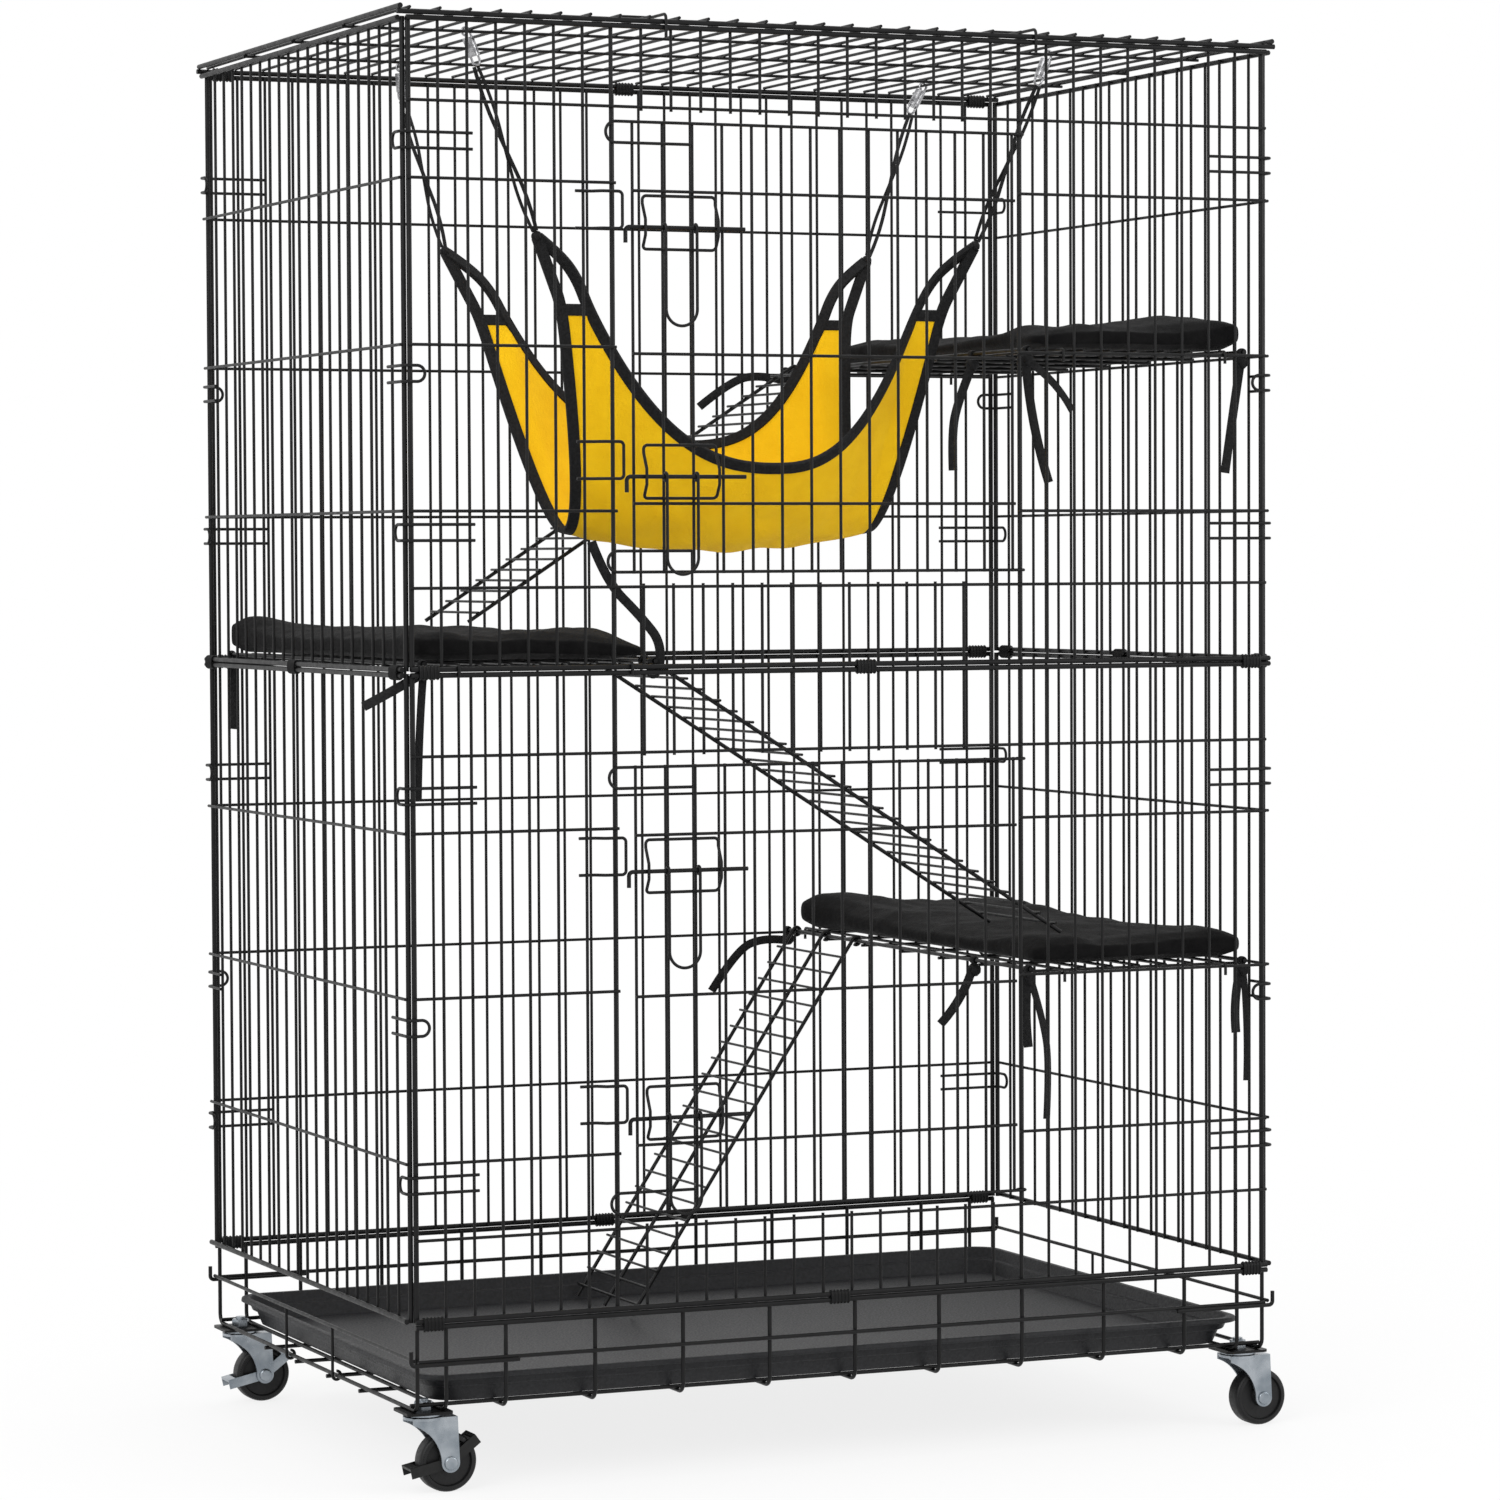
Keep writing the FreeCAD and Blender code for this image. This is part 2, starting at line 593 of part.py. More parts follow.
def bolt_handle():
    """Pull loop that hangs in front of the bolt by two curled ends."""
    left = JAMB_LEFT + HANDLE_LEFT
    right = left + HANDLE_WIDTH
    front = BOLT_Y - HANDLE_EYE
    foot = -HANDLE_LENGTH
    points = [(left, front, 0), (left, front, foot), (right, front, foot), (right, front, 0)]
    loop = bent_wire(points, HANDLE_WIDTH / 2, MESH_WIRE)
    eyes = [curl((x, BOLT_Y, 0), (0, -1, 0), (0, 0, 1), HANDLE_EYE, MESH_WIRE) for x in (left, right)]
    return welded(loop, *eyes)


door_leaf = door()
bolt = latch_bolt()
handle = bolt_handle()
for tier, mid in (("lower", LOWER_MID), ("upper", UPPER_MID)):
    save(tier + "_door", moved(door_leaf, 0, -HALF_D, mid))
    for place, bolt_z in zip(("top", "bottom"), LATCH_HEIGHTS):
        save("%s_%s_bolt" % (tier, place), moved(bolt, 0, -HALF_D, mid + bolt_z))
        save("%s_%s_handle" % (tier, place), moved(handle, 0, -HALF_D, mid + bolt_z))


# Roof grid, hung on the back panel by sleeves and hooked over the other walls

ROOF_RAIL_Y = HALF_D + FRAME_RAIL_OUT
ROOF_SIDE_X = HALF_W + FRAME_RAIL_OUT
ROOF_MESH_Z = FRAME_RAIL_OUT
ROOF_HOOK_X = 202.0
ROOF_HOOK_DROP = 20.0


def roof_panel():
    half = ROOF_RAIL_Y + NUB
    wires = [level(x, MESH_WIRE, half) for x in BACK_PLACES]
    edges = [level(side * ROOF_SIDE_X, FRAME_WIRE, half) for side in (-1, 1)]
    end = ROOF_SIDE_X + RAIL_END
    rails = [(y, -ROOF_MESH_Z, -end, end, FRAME_WIRE) for y in (-ROOF_RAIL_Y, ROOF_RAIL_Y)]
    rails += [(y, -MESH_RAIL_OUT, -end, end, MESH_WIRE) for y in (-HALF_D / 2, 0.0, HALF_D / 2)]
    hooks = []
    front_out = -(ROOF_RAIL_Y + FRAME_WIRE / 2 + GAP + MESH_WIRE / 2)
    back = MESH_PITCH - HALF_D
    for target in (-ROOF_HOOK_X, ROOF_HOOK_X):
        x = nearest(middles(BACK_PLACES), target)
        start = x - MESH_PITCH / 3
        rails.append((back, MESH_RAIL_OUT, x - MESH_PITCH, start, MESH_WIRE))
        points = [(start, back, MESH_RAIL_OUT), (x, back, MESH_RAIL_OUT),
                  (x, front_out, MESH_RAIL_OUT), (x, front_out, -ROOF_HOOK_DROP)]
        hooks.append(bent_wire(points, 5.0, MESH_WIRE))
    return welded(welded_grid([edges[0]] + wires + [edges[1]], rails), *hooks)


save("roof_panel", moved(roof_panel(), 0, 0, ROOF_Z + ROOF_MESH_Z))


# Crimped sleeves round pairs of rails

def sleeve():
    """Flattened tube along X round two rails stacked in Z."""
    def block(radius):
        body = Part.makeBox(SLEEVE_LENGTH, 2 * radius, RAIL_STACK,
                            V(-SLEEVE_LENGTH / 2, -radius, -RAIL_STACK / 2))
        ends = [Part.makeCylinder(radius, SLEEVE_LENGTH, V(-SLEEVE_LENGTH / 2, 0, z), V(1, 0, 0))
                for z in (-RAIL_STACK / 2, RAIL_STACK / 2)]
        return body.multiFuse(ends).removeSplitter()
    inner = FRAME_WIRE / 2 + FIT
    return block(inner + SLEEVE_WALL).cut(block(inner)).Solids[0]


def ends_and_middle(places):
    return [places[0], places[len(places) // 2], places[-1]]


tube = sleeve()
front_bays = ends_and_middle(middles(FRONT_PLACES))
back_bays = ends_and_middle(middles(BACK_PLACES))
side_bays = ends_and_middle(middles(SIDE_PLACES))
rail_y = HALF_D + FRAME_RAIL_OUT
rail_x = HALF_W + FRAME_RAIL_OUT
tier_z = UPPER_MID - HALF_TIER - RAIL_STACK / 2
base_z = BASE_TOP_Z + RAIL_STACK / 2
roof_z = ROOF_Z - RAIL_STACK / 2
tier_sleeves = [moved(tube, x, -rail_y, tier_z) for x in front_bays]
tier_sleeves += [moved(tube, x, rail_y, tier_z) for x in back_bays]
tier_sleeves += [moved(tube, s * rail_x, y, tier_z, 90) for s in (-1, 1) for y in side_bays]
roof_sleeves = [moved(tube, x, rail_y, roof_z) for x in back_bays]


# Base: floor wires that turn up into the front and back walls

FLOOR_FIELD = spaced(-(POST_X - BASE_FIELD), POST_X - BASE_FIELD, BASE_PITCH)
FLOOR_PLACES = [-POST_X, BASE_END - POST_X] + FLOOR_FIELD + [POST_X - BASE_END, POST_X]
FLOOR_CROSS = BASE_WIRE + WELD
BASE_UPRIGHT_Y = (BASE_WIRE - MESH_WIRE) / 2
BASE_MID_Y = BASE_UPRIGHT_Y - FLOOR_CROSS


def base_floor():
    half = HALF_D - BASE_UPRIGHT_Y
    wires = [bent_level(x, BASE_WIRE, half, BASE_BEND, BASE_BEND) for x in FLOOR_PLACES]
    end = POST_X + RAIL_END
    inside = half - BASE_BEND - BASE_WIRE / 2
    rails = [(side * inside, FLOOR_CROSS, -end, end, BASE_WIRE) for side in (-1, 1)]
    rails += [(side * y, -FLOOR_CROSS, -end, end, BASE_WIRE) for side in (-1, 1) for y in FLOOR_RAILS]
    return welded_grid(wires, rails)


HOOK_OFFSET = (BASE_WIRE - HOOK_PRESS) * math.sqrt(0.5)
HOOK_Y = BASE_MID_Y - HOOK_OFFSET
GATE_X = POST_X + BASE_WIRE / 2 + GAP + GATE_WIRE / 2
GATE_Z = BASE_MID - HOOK_OFFSET + BASE_WIRE / 2 + GAP + GATE_WIRE / 2


def base_wall():
    """Wall of the base in the XZ plane, outside towards -Y, with its two J-hooks."""
    span = (BASE_BEND, BASE_HEIGHT + NUB)
    uprights = [upright(x, BASE_WIRE, span) for x in FLOOR_PLACES]
    top_end = POST_X + RAIL_END
    mid_end = POST_X + NUB / 2
    rails = [(-FRAME_RAIL_OUT, BASE_HEIGHT, -top_end, top_end, FRAME_WIRE),
             (BASE_MID_Y, BASE_MID, -mid_end, mid_end, BASE_WIRE)]
    hooks = []
    for side in (-1, 1):
        z = BASE_MID - HOOK_OFFSET
        tip = side * (GATE_X + GATE_WIRE / 2 + GAP + BASE_WIRE / 2)
        inner = side * (POST_X - HOOK_LENGTH)
        points = [(inner, HOOK_Y, z), (tip, HOOK_Y, z), (tip, HOOK_Y, z + HOOK_RISE)]
        hooks.append(bent_wire(points, BASE_WIRE, BASE_WIRE))
    return welded(welded_grid(uprights, rails), *hooks)


wall = base_wall()
save("base_floor", moved(base_floor(), 0, 0, BASE_Z))
save("base_front_wall", moved(wall, 0, -HALF_D, BASE_Z))
save("base_back_wall", moved(wall, 0, HALF_D, BASE_Z, 180))


def clear_bay(bays, target):
    """The bay nearest to target in which a sleeve clears the base uprights."""
    room = SLEEVE_LENGTH / 2 + BASE_WIRE / 2 + GAP
    free = [x for x in bays if min(abs(x - wire) for wire in FLOOR_PLACES) > room]
    return nearest(free, target)


base_sleeves = []
for bays, y in ((middles(FRONT_PLACES), -rail_y), (middles(BACK_PLACES), rail_y)):
    for target in (-POST_X, 0.0, POST_X):
        base_sleeves.append(moved(tube, clear_bay(bays, target), y, base_z))
save("rail_sleeves", *tier_sleeves, *roof_sleeves, *base_sleeves)


# Pull-out tray and the wire gates that close its two ends

def rounded_outline(length, depth, radius, z):
    x = length / 2
    y = depth / 2
    points = [(0, -y, z), (x, -y, z), (x, y, z), (-x, y, z), (-x, -y, z), (0, -y, z)]
    return bent_path(points, radius)


def tray():
    floor_z = BASE_WIRE / 2 + GAP
    top = TRAY_HEIGHT

    def block(inset, low, high, draw):
        outer_l = TRAY_LENGTH - 2 * (TRAY_RIM + inset)
        outer_d = TRAY_DEPTH - 2 * (TRAY_RIM + inset)
        foot = rounded_outline(outer_l - 2 * draw, outer_d - 2 * draw, TRAY_CORNER - inset, low)
        head = rounded_outline(outer_l, outer_d, TRAY_CORNER - inset, high)
        return Part.makeLoft([foot, head], True, True)
    rim_outline = rounded_outline(TRAY_LENGTH, TRAY_DEPTH, TRAY_CORNER + TRAY_RIM, top - TRAY_WALL)
    rim = Part.Face(rim_outline).extrude(V(0, 0, TRAY_WALL))
    shell = block(0, 0, top, TRAY_SLOPE).fuse(rim)
    hollow = block(TRAY_WALL, TRAY_WALL, top + TRAY_WALL, TRAY_SLOPE)
    return moved(shell.cut(hollow).Solids[0], 0, 0, BASE_Z + floor_z)


def tray_gate(side):
    """Rod along the tray's end on two legs that turn on the base's corner wire."""
    reach = HALF_D - HOOK_Y - BASE_WIRE / 2 - GAP
    ring = GATE_X - POST_X
    bar = rod((side * GATE_X, -reach, GATE_Z), (side * GATE_X, reach, GATE_Z), GATE_WIRE)
    pieces = []
    for y in (-GATE_LEG_Y, GATE_LEG_Y):
        pieces.append(rod((side * GATE_X, y, 0), (side * GATE_X, y, GATE_Z), GATE_LEG_WIRE))
        pieces.append(curl((side * POST_X, y, 0), (side, 0, 0), (0, 0, -1), ring, GATE_LEG_WIRE))
    return moved(welded(bar, *pieces), 0, 0, BASE_Z)


save("tray", tray())
save("tray_gate_left", tray_gate(-1))
save("tray_gate_right", tray_gate(1))


# Wire racks that hang on the wall rails, with their cushions

RACK_RAILS_Y = spaced(18 - RACK_DEPTH / 2, RACK_DEPTH / 2 - 18, RACK_PITCH)


class Shelf:
    """Places of one rack: side is -1 at the left wall and 1 at the right wall."""

    def __init__(self, name, side, rail_z, rail_wire, rail_out):
        bays = middles(FRONT_PLACES)
        self.name = name
        self.side = side
        self.places = bays[:RACK_BAYS + 1] if side < 0 else bays[-RACK_BAYS - 1:]
        self.inner = self.places[-1] if side < 0 else self.places[0]
        self.outer = self.places[0] if side < 0 else self.places[-1]
        self.z = rail_z + rail_wire / 2 + GAP + MESH_WIRE / 2
        self.hook_y = HALF_D + rail_out + rail_wire / 2 + GAP + MESH_WIRE / 2
        self.pad_inner = self.inner + side * CUSHION_SETBACK
        self.pad_outer = self.outer + side * CUSHION_OUTER
        self.edge_z = self.z + (BASE_WIRE - MESH_WIRE) / 2
        self.pad_z = self.edge_z + BASE_WIRE / 2 + GAP
        self.pad_top = self.pad_z + CUSHION_THICK


LOW_SHELF = Shelf("lower", 1, LOWER_MID, MESH_WIRE, MESH_RAIL_OUT)
MID_SHELF = Shelf("middle", -1, UPPER_MID - HALF_TIER, FRAME_WIRE, FRAME_RAIL_OUT)
TOP_SHELF = Shelf("upper", 1, UPPER_MID, MESH_WIRE, MESH_RAIL_OUT)


def rack(shelf):
    ends = (shelf.inner, shelf.outer)
    wires = []
    for index, x in enumerate(shelf.places):
        if index in (1, RACK_BAYS - 1):
            wires.append(bent_level(x, MESH_WIRE, shelf.hook_y, -RACK_HOOK, MESH_WIRE))
        else:
            wires.append(level(x, BASE_WIRE if x in ends else MESH_WIRE, RACK_DEPTH / 2))
    rails = [(y, -MESH_RAIL_OUT, shelf.places[0] - RAIL_END, shelf.places[-1] + RAIL_END, MESH_WIRE)
             for y in RACK_RAILS_Y]
    return moved(welded_grid(wires, rails), 0, 0, shelf.z)


def pad_outline(half_x, half_y, corner, draw, z):
    """Rounded rectangle whose four sides are drawn in between the corners."""
    corners = [(half_x, -half_y, -45), (half_x, half_y, 45),
               (-half_x, half_y, 135), (-half_x, -half_y, 225)]
    edges = []
    arcs = []
    for x, y, heading in corners:
        center = V(x - math.copysign(corner, x), y - math.copysign(corner, y), z)
        spots = [center + V(math.cos(math.radians(a)), math.sin(math.radians(a)), 0) * corner
                 for a in (heading - 45, heading, heading + 45)]
        arcs.append(spots)
    for index, spots in enumerate(arcs):
        edges.append(Part.Arc(*spots).toShape())
        start = spots[2]
        end = arcs[(index + 1) % 4][0]
        middle = (start + end) * 0.5
        along = end - start
        inward = V(-along.y, along.x, 0).normalize()
        edges.append(Part.Arc(start, middle + inward * draw, end).toShape())
    return Part.Wire(edges)


def cushion(shelf):
    """Padded mat: plump edge, drawn-in sides and a low crown."""
    half_x = abs(shelf.pad_outer - shelf.pad_inner) / 2
    half_y = CUSHION_DEPTH / 2
    middle = (shelf.pad_outer + shelf.pad_inner) / 2
    profile = [(0.0, 8.0), (0.10, 3.5), (0.24, 0.8), (0.40, 0.0), (0.56, 0.8),
               (0.70, 3.5), (0.81, 9.0), (0.90, 20.0), (0.96, 36.0), (1.0, 60.0)]
    sections = []
    for share, inset in profile:
        z = share * CUSHION_THICK
        sections.append(pad_outline(half_x - inset, half_y - inset, CUSHION_CORNER, CUSHION_DRAW, z))
    return moved(Part.makeLoft(sections, True, True), middle, 0, shelf.pad_z)


for shelf in (LOW_SHELF, MID_SHELF, TOP_SHELF):
    save(shelf.name + "_shelf_rack", rack(shelf))
    save(shelf.name + "_shelf_cushion", cushion(shelf))


# Ramps, each hooked round the inner wire of the rack above it

def ramp(shelf, rails_y, run, foot_z):
    """Ladder of cross wires that hangs from the shelf and leans away from it."""
    heading = -shelf.side
    ring = BASE_WIRE / 2 + FIT + RAMP_WIRE / 2
    under = ring - RAMP_WIRE / 2
    drop = shelf.edge_z - foot_z
    length = math.sqrt(run ** 2 + drop ** 2 - under ** 2)
    slope = math.atan2(drop, run) + math.atan2(under, length)
    above = ring + (RAMP_WIRE + RUNG_WIRE) / 2 + WELD
    ys = [heading * y for y in rails_y]
    sides = (min(ys) - RUNG_OVERHANG, max(ys) + RUNG_OVERHANG)
    places = spaced(RUNG_PITCH * 1.2, length - RUNG_PITCH * 0.6, RUNG_PITCH)
    rungs = [level(x, RUNG_WIRE, sides, above) for x in places]
    ladder = welded_grid(rungs, [(y, ring, 0.0, length, RAMP_WIRE) for y in ys])
    eyes = [curl((0, y, 0), (0, 0, 1), (-1, 0, 0), ring, RAMP_WIRE) for y in ys]
    body = welded(ladder, *eyes)
    body.rotate(V(0, 0, 0), V(0, 1, 0), math.degrees(slope))
    return moved(body, shelf.inner, 0, shelf.edge_z, 0 if heading > 0 else 180)


tray_floor_z = BASE_Z + BASE_WIRE / 2 + GAP + TRAY_WALL
top_run = TOP_SHELF.inner - MID_SHELF.pad_inner + RAMP_LANDING
save("lower_ramp", ramp(LOW_SHELF, LOW_RAMP_RAILS, LOW_RAMP_RUN, tray_floor_z + TRAY_CLEAR))
save("middle_ramp", ramp(MID_SHELF, MID_RAMP_RAILS, MID_RAMP_RUN, LOW_SHELF.pad_top + GAP))
save("upper_ramp", ramp(TOP_SHELF, TOP_RAMP_RAILS, top_run, MID_SHELF.pad_top + GAP))


# Cushion ties: a knot under the rack's edge wire and the tails that hang from it

def limp_bends(points):
    """Bend radii as wide as the two runs at each corner allow."""
    spots = [V(*point) for point in points]
    bends = []
    for a, b, c in zip(spots, spots[1:], spots[2:]):
        half_turn = (math.pi - (a - b).getAngle(c - b)) / 2
        bends.append(0.45 * min((a - b).Length, (c - b).Length) / math.tan(half_turn))
    return bends


def cord_tube(points, diameter):
    """Limp cord along the points; prints how far it keeps its section in the bends."""
    bends = limp_bends(points)
    tube_body = bent_wire(points, bends, diameter)
    length = bent_path(points, bends).Length
    section = math.pi * diameter ** 2 / 4
    print("  tail %.0f mm, radii %s, volume ratio %.4f" % (
        length, [round(b) for b in bends], tube_body.Volume / (section * length)))
    return tube_body


TAILS = {
    "lower": {
        ("inner", SIDE_KNOT_Y): [[(-6, 0, -6), (-14, 2, -32), (-36, 4, -54)]],
        ("inner", -KNOT_Y): [[(-2, 0, -8.4), (-4, 0, -36), (1, 2, -68)],
                             [(6, 0, -6.6), (14, 2, -73), (20, 0, -140)]],
        ("outer", -KNOT_Y): [[(-5, 0, -7), (-9, 2, -32), (-7, 0, -63)],
                             [(3, 0, -8), (8, 2, -58), (5, 0, -112)]],
        ("inner", KNOT_Y): [[(-8.4, 0, -2), (-48, 2, -16), (-91, 0, -54)]],
    },
    "middle": {
        ("inner", -KNOT_Y): [[(8.4, 0, 1), (10, 0, 24), (-9, 0, 56), (-42, 0, 88), (-58, 0, 124)]],
        ("outer", -KNOT_Y): [[(-8, 0, -3), (-34, 2, -18), (-58, 0, -29)],
                             [(1, 0, -8.4), (-3, 2, -56), (-5, 0, -117)]],
        ("outer", KNOT_Y): [[(0, 0, -8.4), (3, -2, -36), (-1, -3, -68)]],
    },
    "upper": {
        ("inner", SIDE_KNOT_Y): [[(-3, 0, -8), (-15, 2, -58), (-20, 4, -107)]],
        ("inner", -KNOT_Y): [[(-1, 0, -8.4), (5, 2, -63), (24, 0, -121)],
                             [(7, 0, -5), (35, 2, -22), (50, 0, -50)]],
        ("outer", -KNOT_Y): [[(-3, 0, -8), (-9, 2, -53), (-19, 0, -111)]],
        ("inner", KNOT_Y): [[(-8.4, 0, 0), (-51, 2, -10), (-102, 0, -30)]],
    },
}


def seated_tail(tail, diameter):
    """The tail's points from the knot's middle, with its square end just clear of the knot."""
    outward = V(*tail[0]).normalize()
    tilt = outward.getAngle(V(*tail[1]) - V(*tail[0]))
    reach = KNOT_SIZE / 2 + SOFT_GAP
    across_end = diameter / 2 * math.cos(tilt)
    start = outward * (diameter / 2 * math.sin(tilt) + math.sqrt(reach ** 2 - across_end ** 2))
    return [start] + [V(*point) for point in tail[1:]]


def ties(shelf):
    pieces = []
    drop = BASE_WIRE / 2 + GAP + KNOT_SIZE / 2
    for (edge, y), tails in TAILS[shelf.name].items():
        x = shelf.inner if edge == "inner" else shelf.outer
        center = V(x, y, shelf.edge_z - drop)
        pieces.append(Part.makeSphere(KNOT_SIZE / 2, center))
        for tail in tails:
            points = [tuple(center + point) for point in seated_tail(tail, TIE_CORD)]
            pieces.append(cord_tube(points, TIE_CORD))
    return pieces


for shelf in (LOW_SHELF, MID_SHELF, TOP_SHELF):
    save(shelf.name + "_cushion_ties", *ties(shelf))


# Hammock: a cloth trough, its bound hems, the strap loops and the snap hooks

def hem_height(x, low):
    """Height at x of a side hem whose lowest point is at low."""
    if abs(x) >= HAMMOCK_SIDE_TOP:
        return HAMMOCK_TOP
    end = math.copysign(HAMMOCK_SIDE_TOP, x - HAMMOCK_LOW_X)
    share = (x - HAMMOCK_LOW_X) / (end - HAMMOCK_LOW_X)
    return low + (HAMMOCK_TOP - low) * share ** HEM_CURVE


def hem_route(low, end):
    """Corners whose sides touch a side hem's curve, from its lowest point to its end."""
    touches = (0.0, 0.32, 0.65, 1.0)
    route = []
    for pair in zip(touches, touches[1:]):
        near, far = [(1 - HEM_CURVE) * t ** HEM_CURVE for t in pair]
        near_slope, far_slope = [HEM_CURVE * t ** (HEM_CURVE - 1) for t in pair]
        share = (near - far) / (far_slope - near_slope)
        rise = far + far_slope * share
        route.append((HAMMOCK_LOW_X + (end - HAMMOCK_LOW_X) * share, low + (HAMMOCK_TOP - low) * rise))
    return route + [(end, HAMMOCK_TOP)]


def trough_path(x, inset):
    """Cross section of the cloth at x, inset from the underside."""
    front = hem_height(x, HAMMOCK_FRONT_LOW)
    back = hem_height(x, HAMMOCK_BACK_LOW)
    top = (front + back) / 2
    foot = HAMMOCK_LOW + (HAMMOCK_END_LOW - HAMMOCK_LOW) * (x / HAMMOCK_END_TOP) ** 2
    lean = x * (1 - HAMMOCK_END / HAMMOCK_END_TOP) / (top - foot)

    def hung(y, z):
        return (x - lean * (top - z), y, z)

    def side(sy, edge):
        slope = math.atan2(edge - foot, HAMMOCK_HALF - HAMMOCK_FOOT)
        rim = sy * (HAMMOCK_HALF - inset / math.sin(slope))
        corner = sy * (HAMMOCK_FOOT - inset * math.tan(slope / 2))
        return [hung(rim, edge), hung(corner, foot + inset)]
    return side(-1, front) + side(1, back)[::-1], TROUGH_BEND - inset


def hammock_cloth():
    places = []
    for end in (-HAMMOCK_SIDE_TOP, HAMMOCK_SIDE_TOP):
        run = end - HAMMOCK_LOW_X
        places += [HAMMOCK_LOW_X + run * share for share in (0.28, 0.55, 0.8, 1.0)]
        places += [(end + math.copysign(HAMMOCK_END_TOP, end)) / 2, math.copysign(HAMMOCK_END_TOP, end)]
    sections = []
    for x in sorted(places + [HAMMOCK_LOW_X]):
        under, under_bend = trough_path(x, 0)
        over, over_bend = trough_path(x, CLOTH)
        edges = bent_path(under, under_bend).Edges
        edges.append(Part.LineSegment(V(*under[-1]), V(*over[-1])).toShape())
        edges += bent_path(over[::-1], over_bend).Edges
        edges.append(Part.LineSegment(V(*over[0]), V(*under[0])).toShape())
        sections.append(Part.Wire(edges))
    return Part.makeLoft(sections, True, False)


def hammock_binding():
    """Bound hems of the sides, drawn up to the strap knots, and of the ends, which join them."""
    out = BINDING / 2 + SOFT_GAP
    shy = STRAP_KNOT / 2 + SOFT_GAP

    def strap_knot(sx, sy):
        return V(sx * HAMMOCK_KNOT_X, sy * HAMMOCK_KNOT_Y, HAMMOCK_KNOT_Z)

    def from_knot(knot, spot, clear):
        return knot + (spot - knot).normalize() * clear

    def band(start, corners, stop, bends=None):
        points = [tuple(p) for p in [start] + corners + [stop]]
        return bent_wire(points, bends or limp_bends(points), BINDING)
    bands = []
    side_ends = {}
    for sy, low in ((-1, HAMMOCK_FRONT_LOW), (1, HAMMOCK_BACK_LOW)):
        left = hem_route(low, -HAMMOCK_SIDE_TOP)
        right = hem_route(low, HAMMOCK_SIDE_TOP)
        corners = [V(x, sy * (HAMMOCK_HALF + out), z) for x, z in left[::-1] + right]
        side_ends[-1, sy] = corners[0]
        side_ends[1, sy] = corners[-1]
        starts = [from_knot(strap_knot(sx, sy), side_ends[sx, sy], shy) for sx in (-1, 1)]
        bands.append(band(starts[0], corners, starts[1]))
    for sx in (-1, 1):
        section, bend = trough_path(sx * HAMMOCK_END_TOP, CLOTH / 2)
        corners = [V(*point) + V(sx * out * 1.02, 0, 0) for point in section]
        starts = []
        for sy, corner in ((-1, corners[0]), (1, corners[-1])):
            knot = strap_knot(sx, sy)
            fork = (side_ends[sx, sy] - knot).getAngle(corner - knot)
            clear = (BINDING + SOFT_GAP) / (2 * math.sin(fork / 2)) + BINDING / 2
            starts.append(from_knot(knot, corner, clear))
        bands.append(band(starts[0], corners, starts[1], [40.0, bend, bend, 40.0]))
    return bands


def snap_hook():
    """Hangs along -Z from a roof wire that runs along Y through the origin."""
    ring = MESH_WIRE / 2 + SNAP_WIRE
    top = -(ring - SNAP_WIRE / 2 - MESH_WIRE / 2 - SOFT_GAP)
    head = top - ring - SNAP_WIRE
    foot = head - SNAP_LENGTH
    shank = rod((ring, 0, top), (ring, 0, head - SNAP_WIRE), SNAP_WIRE)
    hook = curl((0, 0, top), (1, 0, 0), (0, 0, 1), ring, SNAP_WIRE)
    barrel = rod((0, 0, head), (0, 0, foot), 2 * ring + SNAP_WIRE + NUGGET)
    low = foot - SNAP_RING
    points = [(-ring, 0, foot + SNAP_WIRE), (-ring, 0, low), (ring, 0, low), (ring, 0, foot + SNAP_WIRE)]
    bail = bent_wire(points, ring, SNAP_WIRE)
    return welded(barrel, shank, hook, bail), V(0, 0, low)


def hammock_hangers():
    """Knots, doubled straps and snap hooks of the four corners."""
    knots = []
    straps = []
    snaps = []
    for (sx, sy), (hook_x, hook_y) in HAMMOCK_HOOKS.items():
        knot = V(HAMMOCK_X + sx * HAMMOCK_KNOT_X, sy * HAMMOCK_KNOT_Y, BASE_Z + HAMMOCK_KNOT_Z)
        wire = V(nearest(BACK_PLACES, hook_x), hook_y, ROOF_Z + ROOF_MESH_Z)
        lean = math.degrees(math.atan2(wire.x - knot.x, wire.z - knot.z))
        turn = FreeCAD.Rotation(V(0, 1, 0), lean)
        snap, low = snap_hook()
        snap.rotate(V(0, 0, 0), V(0, 1, 0), lean)
        snaps.append(moved(snap, wire.x, wire.y, wire.z))
        knots.append(Part.makeSphere(STRAP_KNOT / 2, knot))
        ring = wire + turn.multVec(low)
        along = (knot - ring).normalize()
        across = (V(0, 1, 0) - along * along.y).normalize()
        aside = across * ((STRAP_CORD + SNAP_WIRE) / 2 + SOFT_GAP)
        for side in (-1, 1):
            start = ring - along * SNAP_WIRE + aside * side
            end = knot - along * (STRAP_KNOT / 2 + SOFT_GAP) + aside * side
            straps.append(rod(tuple(start), tuple(end), STRAP_CORD))
    return knots + straps, snaps


save("hammock_cloth", moved(hammock_cloth(), HAMMOCK_X, 0, BASE_Z))
save("hammock_binding", *[moved(band, HAMMOCK_X, 0, BASE_Z) for band in hammock_binding()])
hangers, snap_hooks = hammock_hangers()
save("hammock_straps", *hangers)
save("snap_hooks", *snap_hooks)


# Casters: corner plate, nut, stem, fork, axle and wheel, with a brake on the left ones

